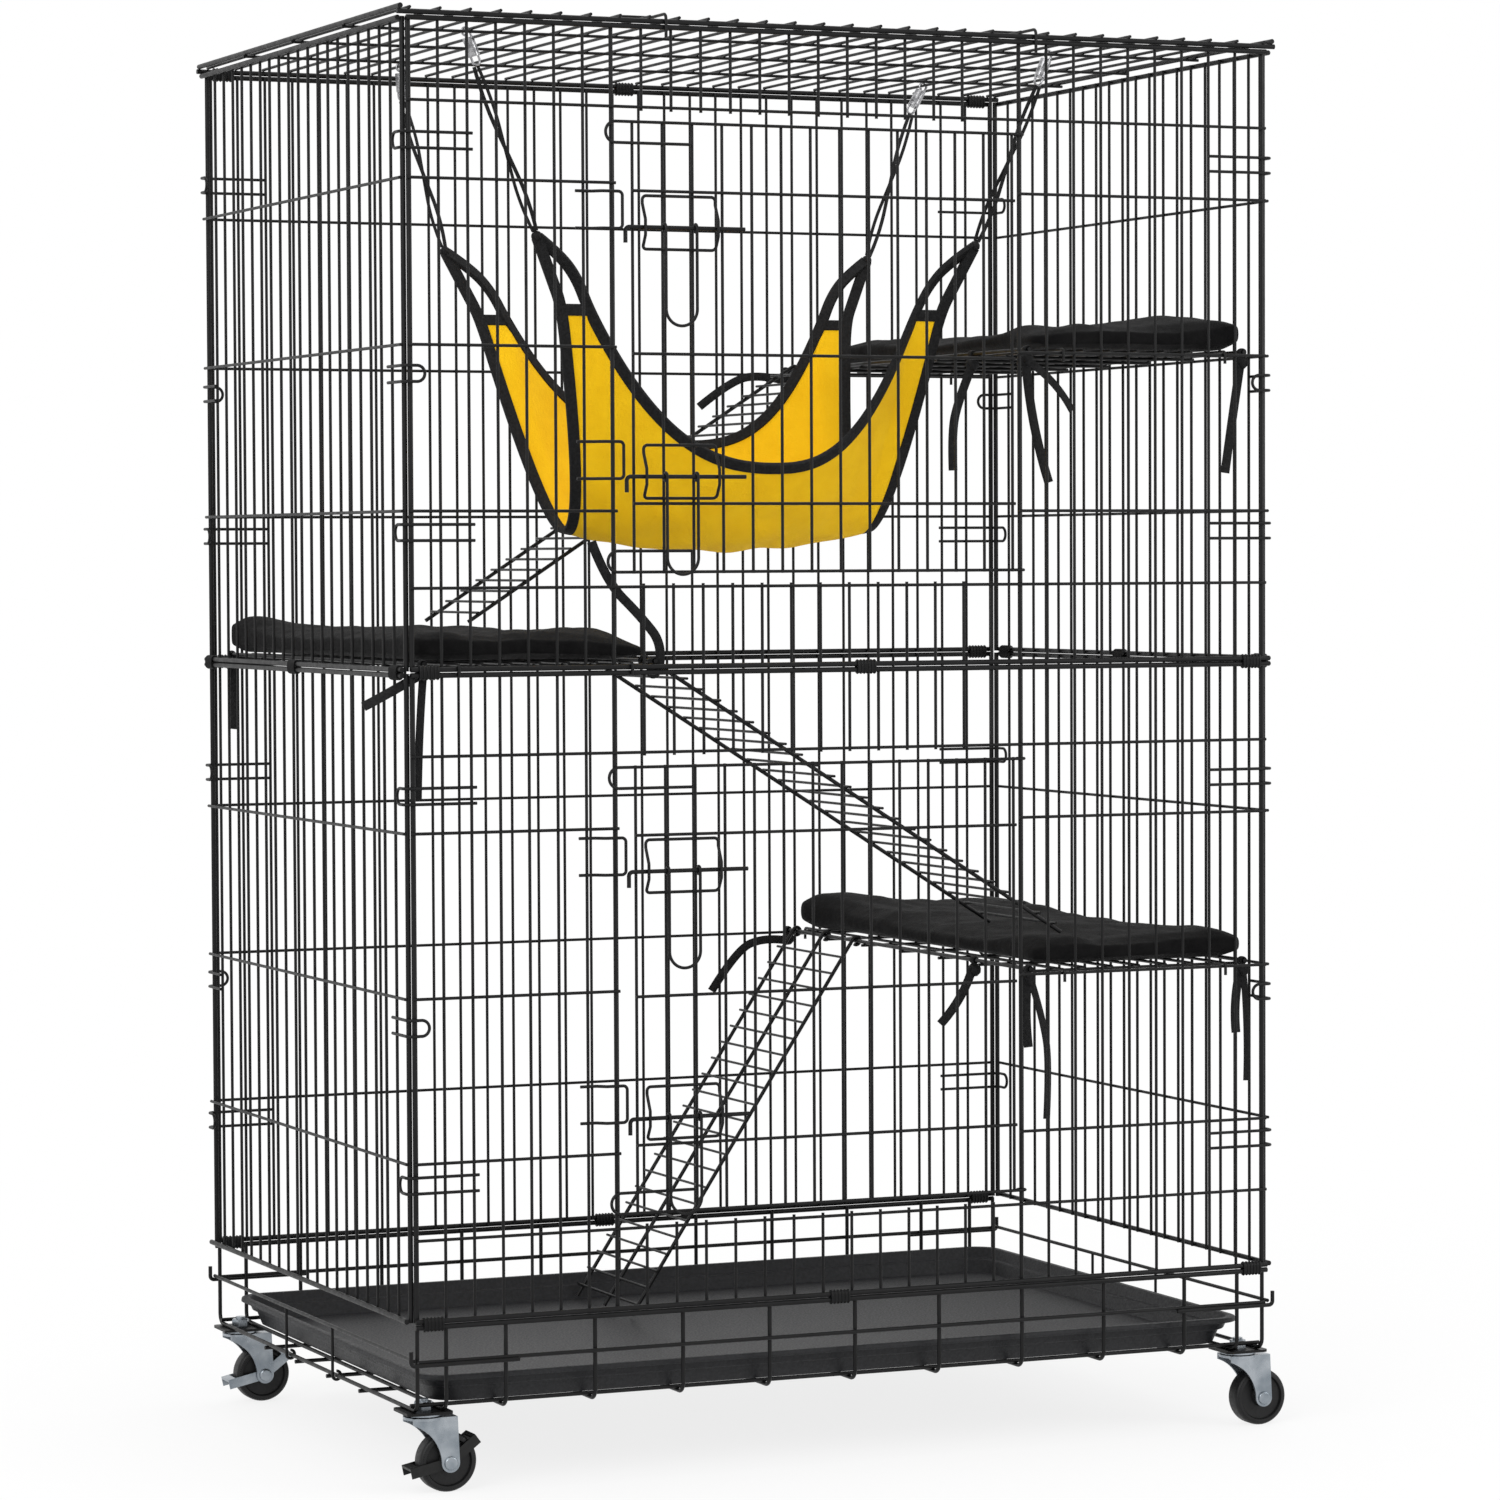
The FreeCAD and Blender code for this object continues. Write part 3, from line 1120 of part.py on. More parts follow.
CASTER_X = POST_X - BASE_END / 2
CASTER_Y = HALF_D - CASTER_INSET
PLATE_TOP = BASE_Z - BASE_WIRE / 2 - FIT
RACE_TOP = PLATE_TOP - PLATE_THICK - FIT
CROWN_TOP = RACE_TOP - RACE_HEIGHT - GAP
CROWN_LOW = CROWN_TOP - FORK_SHEET
AXLE_Z = WHEEL_D / 2
FORK_INNER = WHEEL_WIDTH / 2 + FORK_SIDE_GAP
FORK_OUTER = FORK_INNER + FORK_SHEET
LEVER_SHEET = FORK_SIDE_GAP / 2


def corner_plate():
    corner = V(-PLATE_X / 2, -PLATE_Y / 2, PLATE_TOP - PLATE_THICK)
    plate = Part.makeBox(PLATE_X, PLATE_Y, PLATE_THICK, corner)
    plate = plate.makeFillet(5.0, [e for e in plate.Edges if abs(e.Length - PLATE_THICK) < 1e-6])
    hole = Part.makeCylinder(STEM_D / 2 + FIT, PLATE_THICK, V(0, 0, PLATE_TOP - PLATE_THICK))
    return plate.cut(hole).Solids[0]


def caster_nut():
    radius = NUT_FLATS / math.sqrt(3)
    corners = [V(radius * math.cos(math.radians(a)), radius * math.sin(math.radians(a)), PLATE_TOP + FIT)
               for a in range(0, 361, 60)]
    body = Part.Face(Part.makePolygon(corners)).extrude(V(0, 0, NUT_HEIGHT))
    cone = Part.makeCone(radius + NUT_HEIGHT, radius - 1.2, NUT_HEIGHT + 0.01, V(0, 0, PLATE_TOP + FIT))
    bore = Part.makeCylinder(STEM_D / 2 + FIT, NUT_HEIGHT, V(0, 0, PLATE_TOP + FIT))
    return body.common(cone).cut(bore).Solids[0]


def caster_stem():
    """Threaded stem with the upper race, riveted over under the fork's crown."""
    head_top = CROWN_LOW - GAP
    head = Part.makeCylinder(STEM_D * 0.9, 3.0, V(0, 0, head_top - 3.0))
    shank = Part.makeCylinder(STEM_D / 2, PLATE_TOP + NUT_HEIGHT + 3.0 - head_top, V(0, 0, head_top - 0.5))
    race = Part.makeCylinder(RACE_D / 2, RACE_HEIGHT, V(0, 0, RACE_TOP - RACE_HEIGHT))
    race = race.makeFillet(RACE_HEIGHT / 3, [e for e in race.Edges if e.Length > RACE_D])
    return welded(head, shank, race)


def caster_fork():
    """Pressed fork: a round crown and two legs that trail back to the axle."""
    nose = -RACE_D / 2 + 3.0
    boss = AXLE_D + 1.0
    tail = CASTER_TRAIL + boss
    shoulder = CROWN_LOW - 4.0
    front = CASTER_TRAIL - boss
    low = AXLE_Z - boss
    outline = [
        Part.LineSegment(V(nose, 0, CROWN_TOP), V(nose, 0, shoulder)),
        Part.Arc(V(nose, 0, shoulder), V(front * 0.55, 0, AXLE_Z + 20.0), V(front, 0, AXLE_Z)),
        Part.Arc(V(front, 0, AXLE_Z), V(CASTER_TRAIL, 0, low), V(tail, 0, AXLE_Z)),
        Part.LineSegment(V(tail, 0, AXLE_Z), V(tail - 2.0, 0, CROWN_TOP)),
        Part.LineSegment(V(tail - 2.0, 0, CROWN_TOP), V(nose, 0, CROWN_TOP)),
    ]
    blank = Part.Face(Part.Wire([part.toShape() for part in outline]))
    legs = []
    for y in (-FORK_OUTER, FORK_INNER):
        legs.append(moved(blank.extrude(V(0, FORK_SHEET, 0)), 0, y, 0))
    crown = Part.makeBox(tail - 2.0 - nose, 2 * FORK_OUTER, FORK_SHEET, V(nose, -FORK_OUTER, CROWN_LOW))
    disc = Part.makeCylinder(RACE_D / 2 + 1.0, FORK_SHEET, V(0, 0, CROWN_LOW))
    fork = welded(crown, disc, *legs).removeSplitter()
    stem_hole = Part.makeCylinder(STEM_D / 2 + FIT, 2 * FORK_SHEET, V(0, 0, CROWN_LOW - 1.0))
    side = V(CASTER_TRAIL, -2 * FORK_OUTER, AXLE_Z)
    axle_hole = Part.makeCylinder(AXLE_D / 2 + FIT, 4 * FORK_OUTER, side, V(0, 1, 0))
    return fork.cut(stem_hole).cut(axle_hole).Solids[0]


def caster_axle():
    shank_end = FORK_OUTER + FIT
    head = 2.5
    shank = rod((CASTER_TRAIL, -shank_end, AXLE_Z), (CASTER_TRAIL, shank_end, AXLE_Z), AXLE_D)
    heads = []
    for s in (-1, 1):
        start, stop = [(CASTER_TRAIL, s * y, AXLE_Z) for y in (shank_end, shank_end + head)]
        cap = rod(start, stop, 13.0)
        rims = [e for e in cap.Edges if abs(abs(e.CenterOfMass.y) - shank_end - head) < 1e-6]
        heads.append(cap.makeFillet(1.8, rims))
    return welded(shank, *heads)


def caster_wheel():
    bore = AXLE_D / 2 + FIT
    hub = FORK_INNER - LEVER_SHEET - 2 * GAP
    rim = WHEEL_WIDTH / 2
    profile = [(bore, -hub), (9.0, -hub), (9.0, -5.0), (17.0, -5.0), (18.0, -rim),
               (WHEEL_D / 2 - 3.0, -rim),
               (WHEEL_D / 2, -rim + 4.0), (WHEEL_D / 2, rim - 4.0), (WHEEL_D / 2 - 3.0, rim), (18.0, rim),
               (17.0, 5.0), (9.0, 5.0), (9.0, hub), (bore, hub), (bore, -hub)]
    face = Part.Face(Part.makePolygon([V(CASTER_TRAIL + r, y, AXLE_Z) for r, y in profile]))
    return face.revolve(V(CASTER_TRAIL, 0, AXLE_Z), V(0, 1, 0), 360)


def brake_lever():
    """Two cheeks on the axle with a pedal in front of the wheel and a tab behind it."""
    outer = FORK_INNER - GAP
    inner = outer - LEVER_SHEET + GAP
    thick = 2.5
    pedal = (WHEEL_D / 2 + 3.0, WHEEL_D / 2 + 11.0)
    tab = (WHEEL_D / 2 + 3.0, WHEEL_D / 2 + 7.0)
    pieces = []
    for y in (-outer, inner):
        sheet = outer - inner
        hub = Part.makeCylinder(9.0, sheet, V(0, y, 0), V(0, 1, 0))
        pedal_arm = Part.makeBox(pedal[1], sheet, 10.0, V(-pedal[1], y, -5.0))
        tab_arm = Part.makeBox(tab[1], sheet, 10.0, V(0, y, -5.0))
        tab_arm.rotate(V(0, 0, 0), V(0, 1, 0), -25.0)
        pieces += [hub, pedal_arm, tab_arm]
    plate = Part.makeBox(pedal[1] - pedal[0], 2 * outer, thick, V(-pedal[1], -outer, 5.0 - thick))
    bar = Part.makeBox(tab[1] - tab[0], 2 * outer, thick, V(tab[0], -outer, 5.0 - thick))
    bar.rotate(V(0, 0, 0), V(0, 1, 0), -25.0)
    lever = welded(plate, bar, *pieces)
    bore = Part.makeCylinder(AXLE_D / 2 + FIT, 4 * outer, V(0, -2 * outer, 0), V(0, 1, 0))
    lever = lever.cut(bore).Solids[0]
    lever.rotate(V(0, 0, 0), V(0, 1, 0), -12.0)
    return moved(lever, CASTER_TRAIL, 0, AXLE_Z)


CASTERS = {
    "front_left": (-CASTER_X, -CASTER_Y),
    "front_right": (CASTER_X, -CASTER_Y),
    "rear_left": (-CASTER_X, CASTER_Y),
    "rear_right": (CASTER_X, CASTER_Y),
}
FIXED_PIECES = {"corner_plates": corner_plate, "caster_nuts": caster_nut, "caster_stems": caster_stem}
for name, maker in FIXED_PIECES.items():
    save(name, *[moved(maker(), x, y, 0) for x, y in CASTERS.values()])
for corner, (x, y) in CASTERS.items():
    save(corner + "_fork", moved(caster_fork(), x, y, 0))
    save(corner + "_axle", moved(caster_axle(), x, y, 0))
    save(corner + "_wheel", moved(caster_wheel(), x, y, 0))
for corner in ("front_left", "rear_left"):
    x, y = CASTERS[corner]
    save(corner + "_brake", moved(brake_lever(), x, y, 0))
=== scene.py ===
import json
import math

import bpy
from mathutils import Matrix, Vector, noise


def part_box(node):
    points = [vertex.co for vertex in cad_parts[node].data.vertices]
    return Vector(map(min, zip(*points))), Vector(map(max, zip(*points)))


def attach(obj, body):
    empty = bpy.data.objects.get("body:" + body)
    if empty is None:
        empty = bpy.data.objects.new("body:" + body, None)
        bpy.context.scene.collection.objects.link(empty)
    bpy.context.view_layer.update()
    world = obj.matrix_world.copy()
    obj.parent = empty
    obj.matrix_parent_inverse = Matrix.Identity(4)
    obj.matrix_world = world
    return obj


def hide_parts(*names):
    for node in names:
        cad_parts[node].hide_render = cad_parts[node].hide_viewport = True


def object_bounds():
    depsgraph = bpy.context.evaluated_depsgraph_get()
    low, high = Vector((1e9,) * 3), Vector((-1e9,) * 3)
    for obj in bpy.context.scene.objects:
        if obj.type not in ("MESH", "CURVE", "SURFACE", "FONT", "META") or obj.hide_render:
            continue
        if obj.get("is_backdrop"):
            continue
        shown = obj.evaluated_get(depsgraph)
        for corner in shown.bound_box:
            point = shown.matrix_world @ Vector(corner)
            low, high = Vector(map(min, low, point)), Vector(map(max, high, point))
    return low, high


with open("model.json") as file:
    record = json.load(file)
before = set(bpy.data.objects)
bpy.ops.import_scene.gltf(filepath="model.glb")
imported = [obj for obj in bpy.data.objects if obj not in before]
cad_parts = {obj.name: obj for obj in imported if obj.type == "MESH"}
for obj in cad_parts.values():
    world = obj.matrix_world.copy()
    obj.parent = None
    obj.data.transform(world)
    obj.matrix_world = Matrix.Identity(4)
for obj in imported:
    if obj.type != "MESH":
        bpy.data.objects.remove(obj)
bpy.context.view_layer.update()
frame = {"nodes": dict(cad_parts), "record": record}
nodes = frame["nodes"]


# The studio: a white floor in a bright, even room, with a large soft box high on the left,
# a weaker one on the right and one overhead. The camera stands where the photographer stood.
FLOOR_RADIUS = 14.0
FLOOR_WHITE = 0.86
FLOOR_ROUGH = 0.9
FLOOR_SPECULAR = 0.1
BACKDROP_NEAR = 0.82
SHADOW_REACH = (0.6, 2.2)
ROOM_LIGHT = 0.90
CAGE_MIDDLE = Vector((0.0, 0.0, 0.7))
CAMERA_PLACE = (-2.02516, -4.73093, 0.88044)
CAMERA_YAW = 0.40885
CAMERA_PITCH = -0.03818
CAMERA_ROLL = -0.00461
CAMERA_LENS = 120.48
CAMERA_SENSOR = 36.0
SOFT_BOXES = {
    "left_soft_box": {"place": (-3.2, -2.6, 3.0), "size": 2.4, "watts": 85.0},
    "right_soft_box": {"place": (3.4, -3.2, 2.0), "size": 2.0, "watts": 50.0},
    "top_soft_box": {"place": (0.4, 0.6, 4.2), "size": 2.6, "watts": 30.0},
}


def shows_backdrop(tree):
    """1 for a ray that shows the backdrop itself, 0 for one that only carries its light."""
    path = tree.nodes.new("ShaderNodeLightPath")
    seen = path.outputs["Is Camera Ray"]
    for kind in ("Is Glossy Ray", "Is Transmission Ray"):
        either = tree.nodes.new("ShaderNodeMath")
        either.operation = "MAXIMUM"
        tree.links.new(seen, either.inputs[0])
        tree.links.new(path.outputs[kind], either.inputs[1])
        seen = either.outputs[0]
    return seen


def fades_out(tree):
    """Share of plain white on the floor, which is whole where the cage's shadow has ended."""
    spot = tree.nodes.new("ShaderNodeTexCoord").outputs["Object"]
    away = tree.nodes.new("ShaderNodeVectorMath")
    away.operation = "LENGTH"
    tree.links.new(spot, away.inputs[0])
    share = tree.nodes.new("ShaderNodeMapRange")
    share.interpolation_type = "SMOOTHSTEP"
    share.inputs["From Min"].default_value = SHADOW_REACH[0]
    share.inputs["From Max"].default_value = SHADOW_REACH[1]
    share.inputs["To Min"].default_value = BACKDROP_NEAR
    share.inputs["To Max"].default_value = 1.0
    tree.links.new(away.outputs["Value"], share.inputs["Value"])
    times = tree.nodes.new("ShaderNodeMath")
    times.operation = "MULTIPLY"
    tree.links.new(shows_backdrop(tree), times.inputs[0])
    tree.links.new(share.outputs["Result"], times.inputs[1])
    return times.outputs[0]


scene = bpy.context.scene
scene.view_settings.view_transform = "Standard"

room = bpy.data.worlds.new("white_room")
room.use_nodes = True
room_tree = room.node_tree
room_light = room_tree.nodes["Background"]
room_light.inputs["Color"].default_value = (1.0, 1.0, 1.0, 1.0)
room_light.inputs["Strength"].default_value = ROOM_LIGHT
room_wall = room_tree.nodes.new("ShaderNodeBackground")
room_wall.inputs["Color"].default_value = (1.0, 1.0, 1.0, 1.0)
room_mix = room_tree.nodes.new("ShaderNodeMixShader")
room_tree.links.new(shows_backdrop(room_tree), room_mix.inputs[0])
room_tree.links.new(room_light.outputs[0], room_mix.inputs[1])
room_tree.links.new(room_wall.outputs[0], room_mix.inputs[2])
room_tree.links.new(room_mix.outputs[0], room_tree.nodes["World Output"].inputs["Surface"])
scene.world = room

bpy.ops.object.select_all(action="DESELECT")
bpy.ops.mesh.primitive_circle_add(vertices=96, radius=FLOOR_RADIUS, fill_type="NGON")
floor = bpy.context.object
floor.name = "studio_floor"
floor_white = bpy.data.materials.new("floor_white")
floor_white.use_nodes = True
floor_tree = floor_white.node_tree
floor_paint = floor_tree.nodes["Principled BSDF"]
floor_paint.inputs["Base Color"].default_value = (FLOOR_WHITE, FLOOR_WHITE, FLOOR_WHITE, 1.0)
floor_paint.inputs["Roughness"].default_value = FLOOR_ROUGH
floor_paint.inputs["Specular IOR Level"].default_value = FLOOR_SPECULAR
floor_glow = floor_tree.nodes.new("ShaderNodeEmission")
floor_mix = floor_tree.nodes.new("ShaderNodeMixShader")
floor_tree.links.new(fades_out(floor_tree), floor_mix.inputs[0])
floor_tree.links.new(floor_paint.outputs[0], floor_mix.inputs[1])
floor_tree.links.new(floor_glow.outputs[0], floor_mix.inputs[2])
floor_tree.links.new(floor_mix.outputs[0], floor_tree.nodes["Material Output"].inputs["Surface"])
floor.data.materials.append(floor_white)
floor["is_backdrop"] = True

for name, box in SOFT_BOXES.items():
    bpy.ops.object.light_add(type="AREA", location=box["place"])
    lamp = bpy.context.object
    lamp.name = name
    lamp.data.size = box["size"]
    lamp.data.energy = box["watts"]
    lamp.rotation_euler = (CAGE_MIDDLE - lamp.location).to_track_quat("-Z", "Y").to_euler()

bpy.ops.object.camera_add(location=CAMERA_PLACE)
camera = bpy.context.object
camera.name = "photo_camera"
aim = Matrix.Rotation(-CAMERA_YAW, 3, "Z") @ Matrix.Rotation(math.pi / 2 + CAMERA_PITCH, 3, "X")
camera.rotation_euler = (aim @ Matrix.Rotation(CAMERA_ROLL, 3, "Z")).to_euler()
camera.data.lens = CAMERA_LENS
camera.data.sensor_width = CAMERA_SENSOR
scene.camera = camera


# Steel wire, welded into grids and dipped in black powder: the walls, doors, bolts, pull loops,
# roof, base, tray gates, racks and ramps. The baked powder is satin, with a faint orange peel.
WIRE_DARK = (0.0024, 0.0024, 0.0026)
WIRE_LIGHT = (0.0050, 0.0050, 0.0053)
NOISE_SPAN = (0.3, 0.7)


def grain(tree, place, size, detail):
    """Noise whose lumps are about size metres across."""
    texture = tree.nodes.new("ShaderNodeTexNoise")
    texture.inputs["Scale"].default_value = 1.0 / size
    texture.inputs["Detail"].default_value = detail
    tree.links.new(place, texture.inputs["Vector"])
    return texture.outputs["Fac"]


def tint(tree, shader, factor, colours, span):
    """Base colour that runs from the dark to the light colour over that span of factor."""
    ramp = tree.nodes.new("ShaderNodeValToRGB")
    for stop, position, colour in zip(ramp.color_ramp.elements, span, colours):
        stop.position = position
        stop.color = (*colour, 1.0)
    tree.links.new(factor, ramp.inputs["Fac"])
    tree.links.new(ramp.outputs["Color"], shader.inputs["Base Color"])


def gloss(tree, shader, factor, rough):
    """Roughness that runs from the first value to the second with factor."""
    span = tree.nodes.new("ShaderNodeMapRange")
    span.inputs["From Min"].default_value = NOISE_SPAN[0]
    span.inputs["From Max"].default_value = NOISE_SPAN[1]
    span.inputs["To Min"].default_value = rough[0]
    span.inputs["To Max"].default_value = rough[1]
    tree.links.new(factor, span.inputs["Value"])
    tree.links.new(span.outputs["Result"], shader.inputs["Roughness"])


def relief(tree, shader, height, depth):
    """Bump of that depth in metres, on top of any bump the shader already has."""
    node = tree.nodes.new("ShaderNodeBump")
    node.inputs["Strength"].default_value = 1.0
    node.inputs["Distance"].default_value = depth
    tree.links.new(height, node.inputs["Height"])
    if shader.inputs["Normal"].is_linked:
        tree.links.new(shader.inputs["Normal"].links[0].from_socket, node.inputs["Normal"])
    tree.links.new(node.outputs["Normal"], shader.inputs["Normal"])


def finish(name, colours, cloud, rough, patch, bumps, specular=0.5, metallic=0.0, span=(0.35, 0.65)):
    """A material with clouded colours, patches of roughness and bumps.

    cloud is a lump size in metres and a detail, patch a lump size, and each bump a lump size,
    a detail and a depth."""
    material = bpy.data.materials.new(name)
    material.use_nodes = True
    tree = material.node_tree
    shader = tree.nodes["Principled BSDF"]
    shader.inputs["Metallic"].default_value = metallic
    shader.inputs["Specular IOR Level"].default_value = specular
    place = tree.nodes.new("ShaderNodeTexCoord").outputs["Object"]
    tint(tree, shader, grain(tree, place, *cloud), colours, span)
    gloss(tree, shader, grain(tree, place, patch, 2.0), rough)
    for size, detail, depth in bumps:
        relief(tree, shader, grain(tree, place, size, detail), depth)
    return material


def dress(piece, material):
    """Gives a piece, or a CAD node's object, this one material."""
    if piece.material_slots:
        for held in piece.material_slots:
            held.material = material
    else:
        piece.data.materials.append(material)


def dress_slot(slot, material):
    """Gives every CAD node of that slot this material."""
    for part in frame["record"]["subparts"]:
        if part["material_slot"] == slot:
            dress(nodes[part["node"]], material)


powder_coat = finish("powder_coat", (WIRE_DARK, WIRE_LIGHT), cloud=(0.035, 2.0), rough=(0.34, 0.48),
                     patch=0.0066, bumps=[(0.0011, 2.0, 0.00005)], specular=0.2)
dress_slot("black_wire", powder_coat)


# Zinc-plated pressings of the casters: nuts, stems, forks, axles and the rear brake lever.
# Bright bluish plate with a soft cloudy sheen; the front brake lever is black moulded plastic.
ZINC_DARK = (0.21, 0.24, 0.27)
ZINC_LIGHT = (0.36, 0.39, 0.42)
LEVER_DARK = (0.003, 0.003, 0.003)
LEVER_LIGHT = (0.006, 0.006, 0.006)

zinc_plate = finish("zinc_plate", (ZINC_DARK, ZINC_LIGHT), cloud=(0.022, 3.0), rough=(0.24, 0.36),
                    patch=0.006, bumps=[(0.0012, 2.0, 0.00004)], metallic=0.85)
dress_slot("zinc", zinc_plate)
lever_black = finish("lever_black", (LEVER_DARK, LEVER_LIGHT), cloud=(0.006, 2.0), rough=(0.36, 0.5),
                     patch=0.002, bumps=[(0.0008, 2.0, 0.00006)], specular=0.3)
dress(nodes["front_left_brake"], lever_black)


# Four caster wheels, moulded in black nylon: a rounded tread, a sunk web and a raised hub
# that turns on the axle.
WHEEL_VERTICES = 72
WHEEL_RIM = 0.0055
WEB_DEPTH = 0.0026
WEB_STEP = 0.0012
HUB_RADIUS = 0.0085
BORE_RADIUS = 0.0041
HUB_PROUD = 0.0005
TREAD_ROUND = 0.0042
FORK_PLAY = 0.0007
WHEEL_SHARP = math.radians(35)
NYLON_DARK = (0.003, 0.003, 0.0033)
NYLON_LIGHT = (0.006, 0.006, 0.0065)
CLOSE = 1e-5

wheel_nylon = finish("wheel_nylon", (NYLON_DARK, NYLON_LIGHT), cloud=(0.01, 2.0), rough=(0.4, 0.55),
                     patch=0.003, bumps=[(0.0009, 2.0, 0.00007)], specular=0.3)


def pick(piece, kind, test):
    """Goes to edit mode with only the faces or edges selected whose middle passes the test."""
    bpy.ops.object.mode_set(mode="EDIT")
    bpy.ops.mesh.select_mode(type=kind)
    bpy.ops.mesh.select_all(action="DESELECT")
    bpy.ops.object.mode_set(mode="OBJECT")
    mesh = piece.data
    if kind == "FACE":
        for face in mesh.polygons:
            face.select = test(face.center, face.normal)
    else:
        for edge in mesh.edges:
            ends = [mesh.vertices[i].co for i in edge.vertices]
            edge.select = test(*ends)
    bpy.ops.object.mode_set(mode="EDIT")


def take(*pieces):
    """Selects these pieces and no others; the first is the active one."""
    bpy.ops.object.select_all(action="DESELECT")
    for piece in pieces:
        piece.select_set(True)
    bpy.context.view_layer.objects.active = pieces[0]


def settle(piece, name):
    """Puts a finished piece's place into its mesh and names it."""
    bpy.ops.object.mode_set(mode="OBJECT")
    take(piece)
    bpy.ops.object.transform_apply(location=True, rotation=True, scale=True)
    piece.name = name


def hand_over(piece, body, material, node=None):
    """Lets a finished piece ride on its body, in place of its CAD node if it has one."""
    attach(piece, body)
    if node:
        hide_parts(node)
    dress(piece, material)


def caster_wheel(corner):
    low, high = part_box(corner + "_wheel")
    middle = (low + high) / 2
    radius = (high.z - low.z) / 2
    half = (high.y - low.y) / 2 - FORK_PLAY
    bpy.ops.object.select_all(action="DESELECT")
    bpy.ops.mesh.primitive_cylinder_add(vertices=WHEEL_VERTICES, radius=radius, depth=2 * half)
    wheel = bpy.context.object
    pick(wheel, "FACE", lambda center, normal: abs(normal.z) > 0.9)
    bpy.ops.mesh.inset(thickness=WHEEL_RIM)
    bpy.ops.mesh.inset(thickness=WEB_STEP, depth=-WEB_DEPTH)
    bpy.ops.mesh.inset(thickness=radius - WHEEL_RIM - 2 * WEB_STEP - HUB_RADIUS)
    bpy.ops.mesh.inset(thickness=WEB_STEP, depth=WEB_DEPTH + HUB_PROUD)
    bpy.ops.mesh.inset(thickness=HUB_RADIUS - BORE_RADIUS)
    bpy.ops.mesh.bridge_edge_loops()

    def on_tread(*ends):
        return all(abs(v.xy.length - radius) < CLOSE and abs(abs(v.z) - half) < CLOSE for v in ends)
    pick(wheel, "EDGE", on_tread)
    bpy.ops.mesh.bevel(offset=TREAD_ROUND, segments=5)
    bpy.ops.object.mode_set(mode="OBJECT")
    wheel.rotation_euler = (math.pi / 2, 0, 0)
    wheel.location = middle
    bpy.ops.object.shade_smooth_by_angle(angle=WHEEL_SHARP)
    settle(wheel, corner + "_tyre")
    hand_over(wheel, corner + "_wheel", wheel_nylon, corner + "_wheel")


for corner in ("front_left", "front_right", "rear_left", "rear_right"):
    caster_wheel(corner)


# Pull-out tray, vacuum-formed from thick charcoal plastic: flat floor, rounded corners,
# leaning walls with a moulded step and a rolled rim. Its grain is fine and slightly glossy.
tray_low, tray_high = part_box("tray")
TRAY_WALL = 0.0025
TRAY_RIM = 0.006
TRAY_SLOPE = 0.012
TRAY_CORNER = 0.026
TRAY_STEP = 0.0035
TRAY_STEP_SHARE = 0.55
TRAY_STEP_RISE = 0.0006
TRAY_LIP = 0.004
TRAY_LIP_LEAN = 0.0005
TRAY_LIP_ROOM = 0.001
TRAY_EDGE_ROUND = 0.0011
TRAY_EDGE_ANGLE = math.radians(25)
TRAY_SHARP = math.radians(30)
CHARCOAL_DARK = (0.0065, 0.0067, 0.0078)
CHARCOAL_LIGHT = (0.0135, 0.0139, 0.0157)

tray_plastic = finish("tray_plastic", (CHARCOAL_DARK, CHARCOAL_LIGHT), cloud=(0.0035, 4.0),
                      rough=(0.42, 0.62), patch=0.0022, bumps=[(0.0016, 3.0, 0.00022)], specular=0.28)

tray_middle = (tray_low + tray_high) / 2
tray_size = tray_high - tray_low
floor_x = tray_size.x - 2 * (TRAY_RIM + TRAY_SLOPE)
floor_y = tray_size.y - 2 * (TRAY_RIM + TRAY_SLOPE)
wall_height = tray_size.z - TRAY_WALL / 2
bpy.ops.object.select_all(action="DESELECT")
bpy.ops.mesh.primitive_plane_add(size=1.0)
tray = bpy.context.object
tray.scale = (floor_x, floor_y, 1.0)
bpy.ops.object.transform_apply(scale=True)
bpy.ops.object.mode_set(mode="EDIT")
bpy.ops.mesh.select_all(action="SELECT")
bpy.ops.mesh.bevel(affect="VERTICES", offset=TRAY_CORNER, segments=8)
bpy.ops.object.mode_set(mode="OBJECT")


def pull_rim(piece, from_z, up, out):
    """Draws the open rim at from_z up and outwards into the next band of wall."""
    mesh = piece.data
    uses = {}
    for face in mesh.polygons:
        for key in face.edge_keys:
            uses[key] = uses.get(key, 0) + 1
    pick(piece, "EDGE", lambda a, b: False)
    bpy.ops.object.mode_set(mode="OBJECT")
    for edge in mesh.edges:
        at_rim = all(abs(mesh.vertices[i].co.z - from_z) < CLOSE for i in edge.vertices)
        edge.select = at_rim and uses.get(tuple(sorted(edge.vertices)), 0) == 1
    reach_x = max(abs(v.co.x) for v in mesh.vertices)
    reach_y = max(abs(v.co.y) for v in mesh.vertices)
    bpy.ops.object.mode_set(mode="EDIT")
    bpy.ops.mesh.extrude_edges_move()
    bpy.ops.transform.translate(value=(0, 0, up))
    grow = ((reach_x + out) / reach_x, (reach_y + out) / reach_y, 1.0)
    bpy.ops.transform.resize(value=grow, center_override=(0, 0, 0))
    bpy.ops.object.mode_set(mode="OBJECT")
    return from_z + up


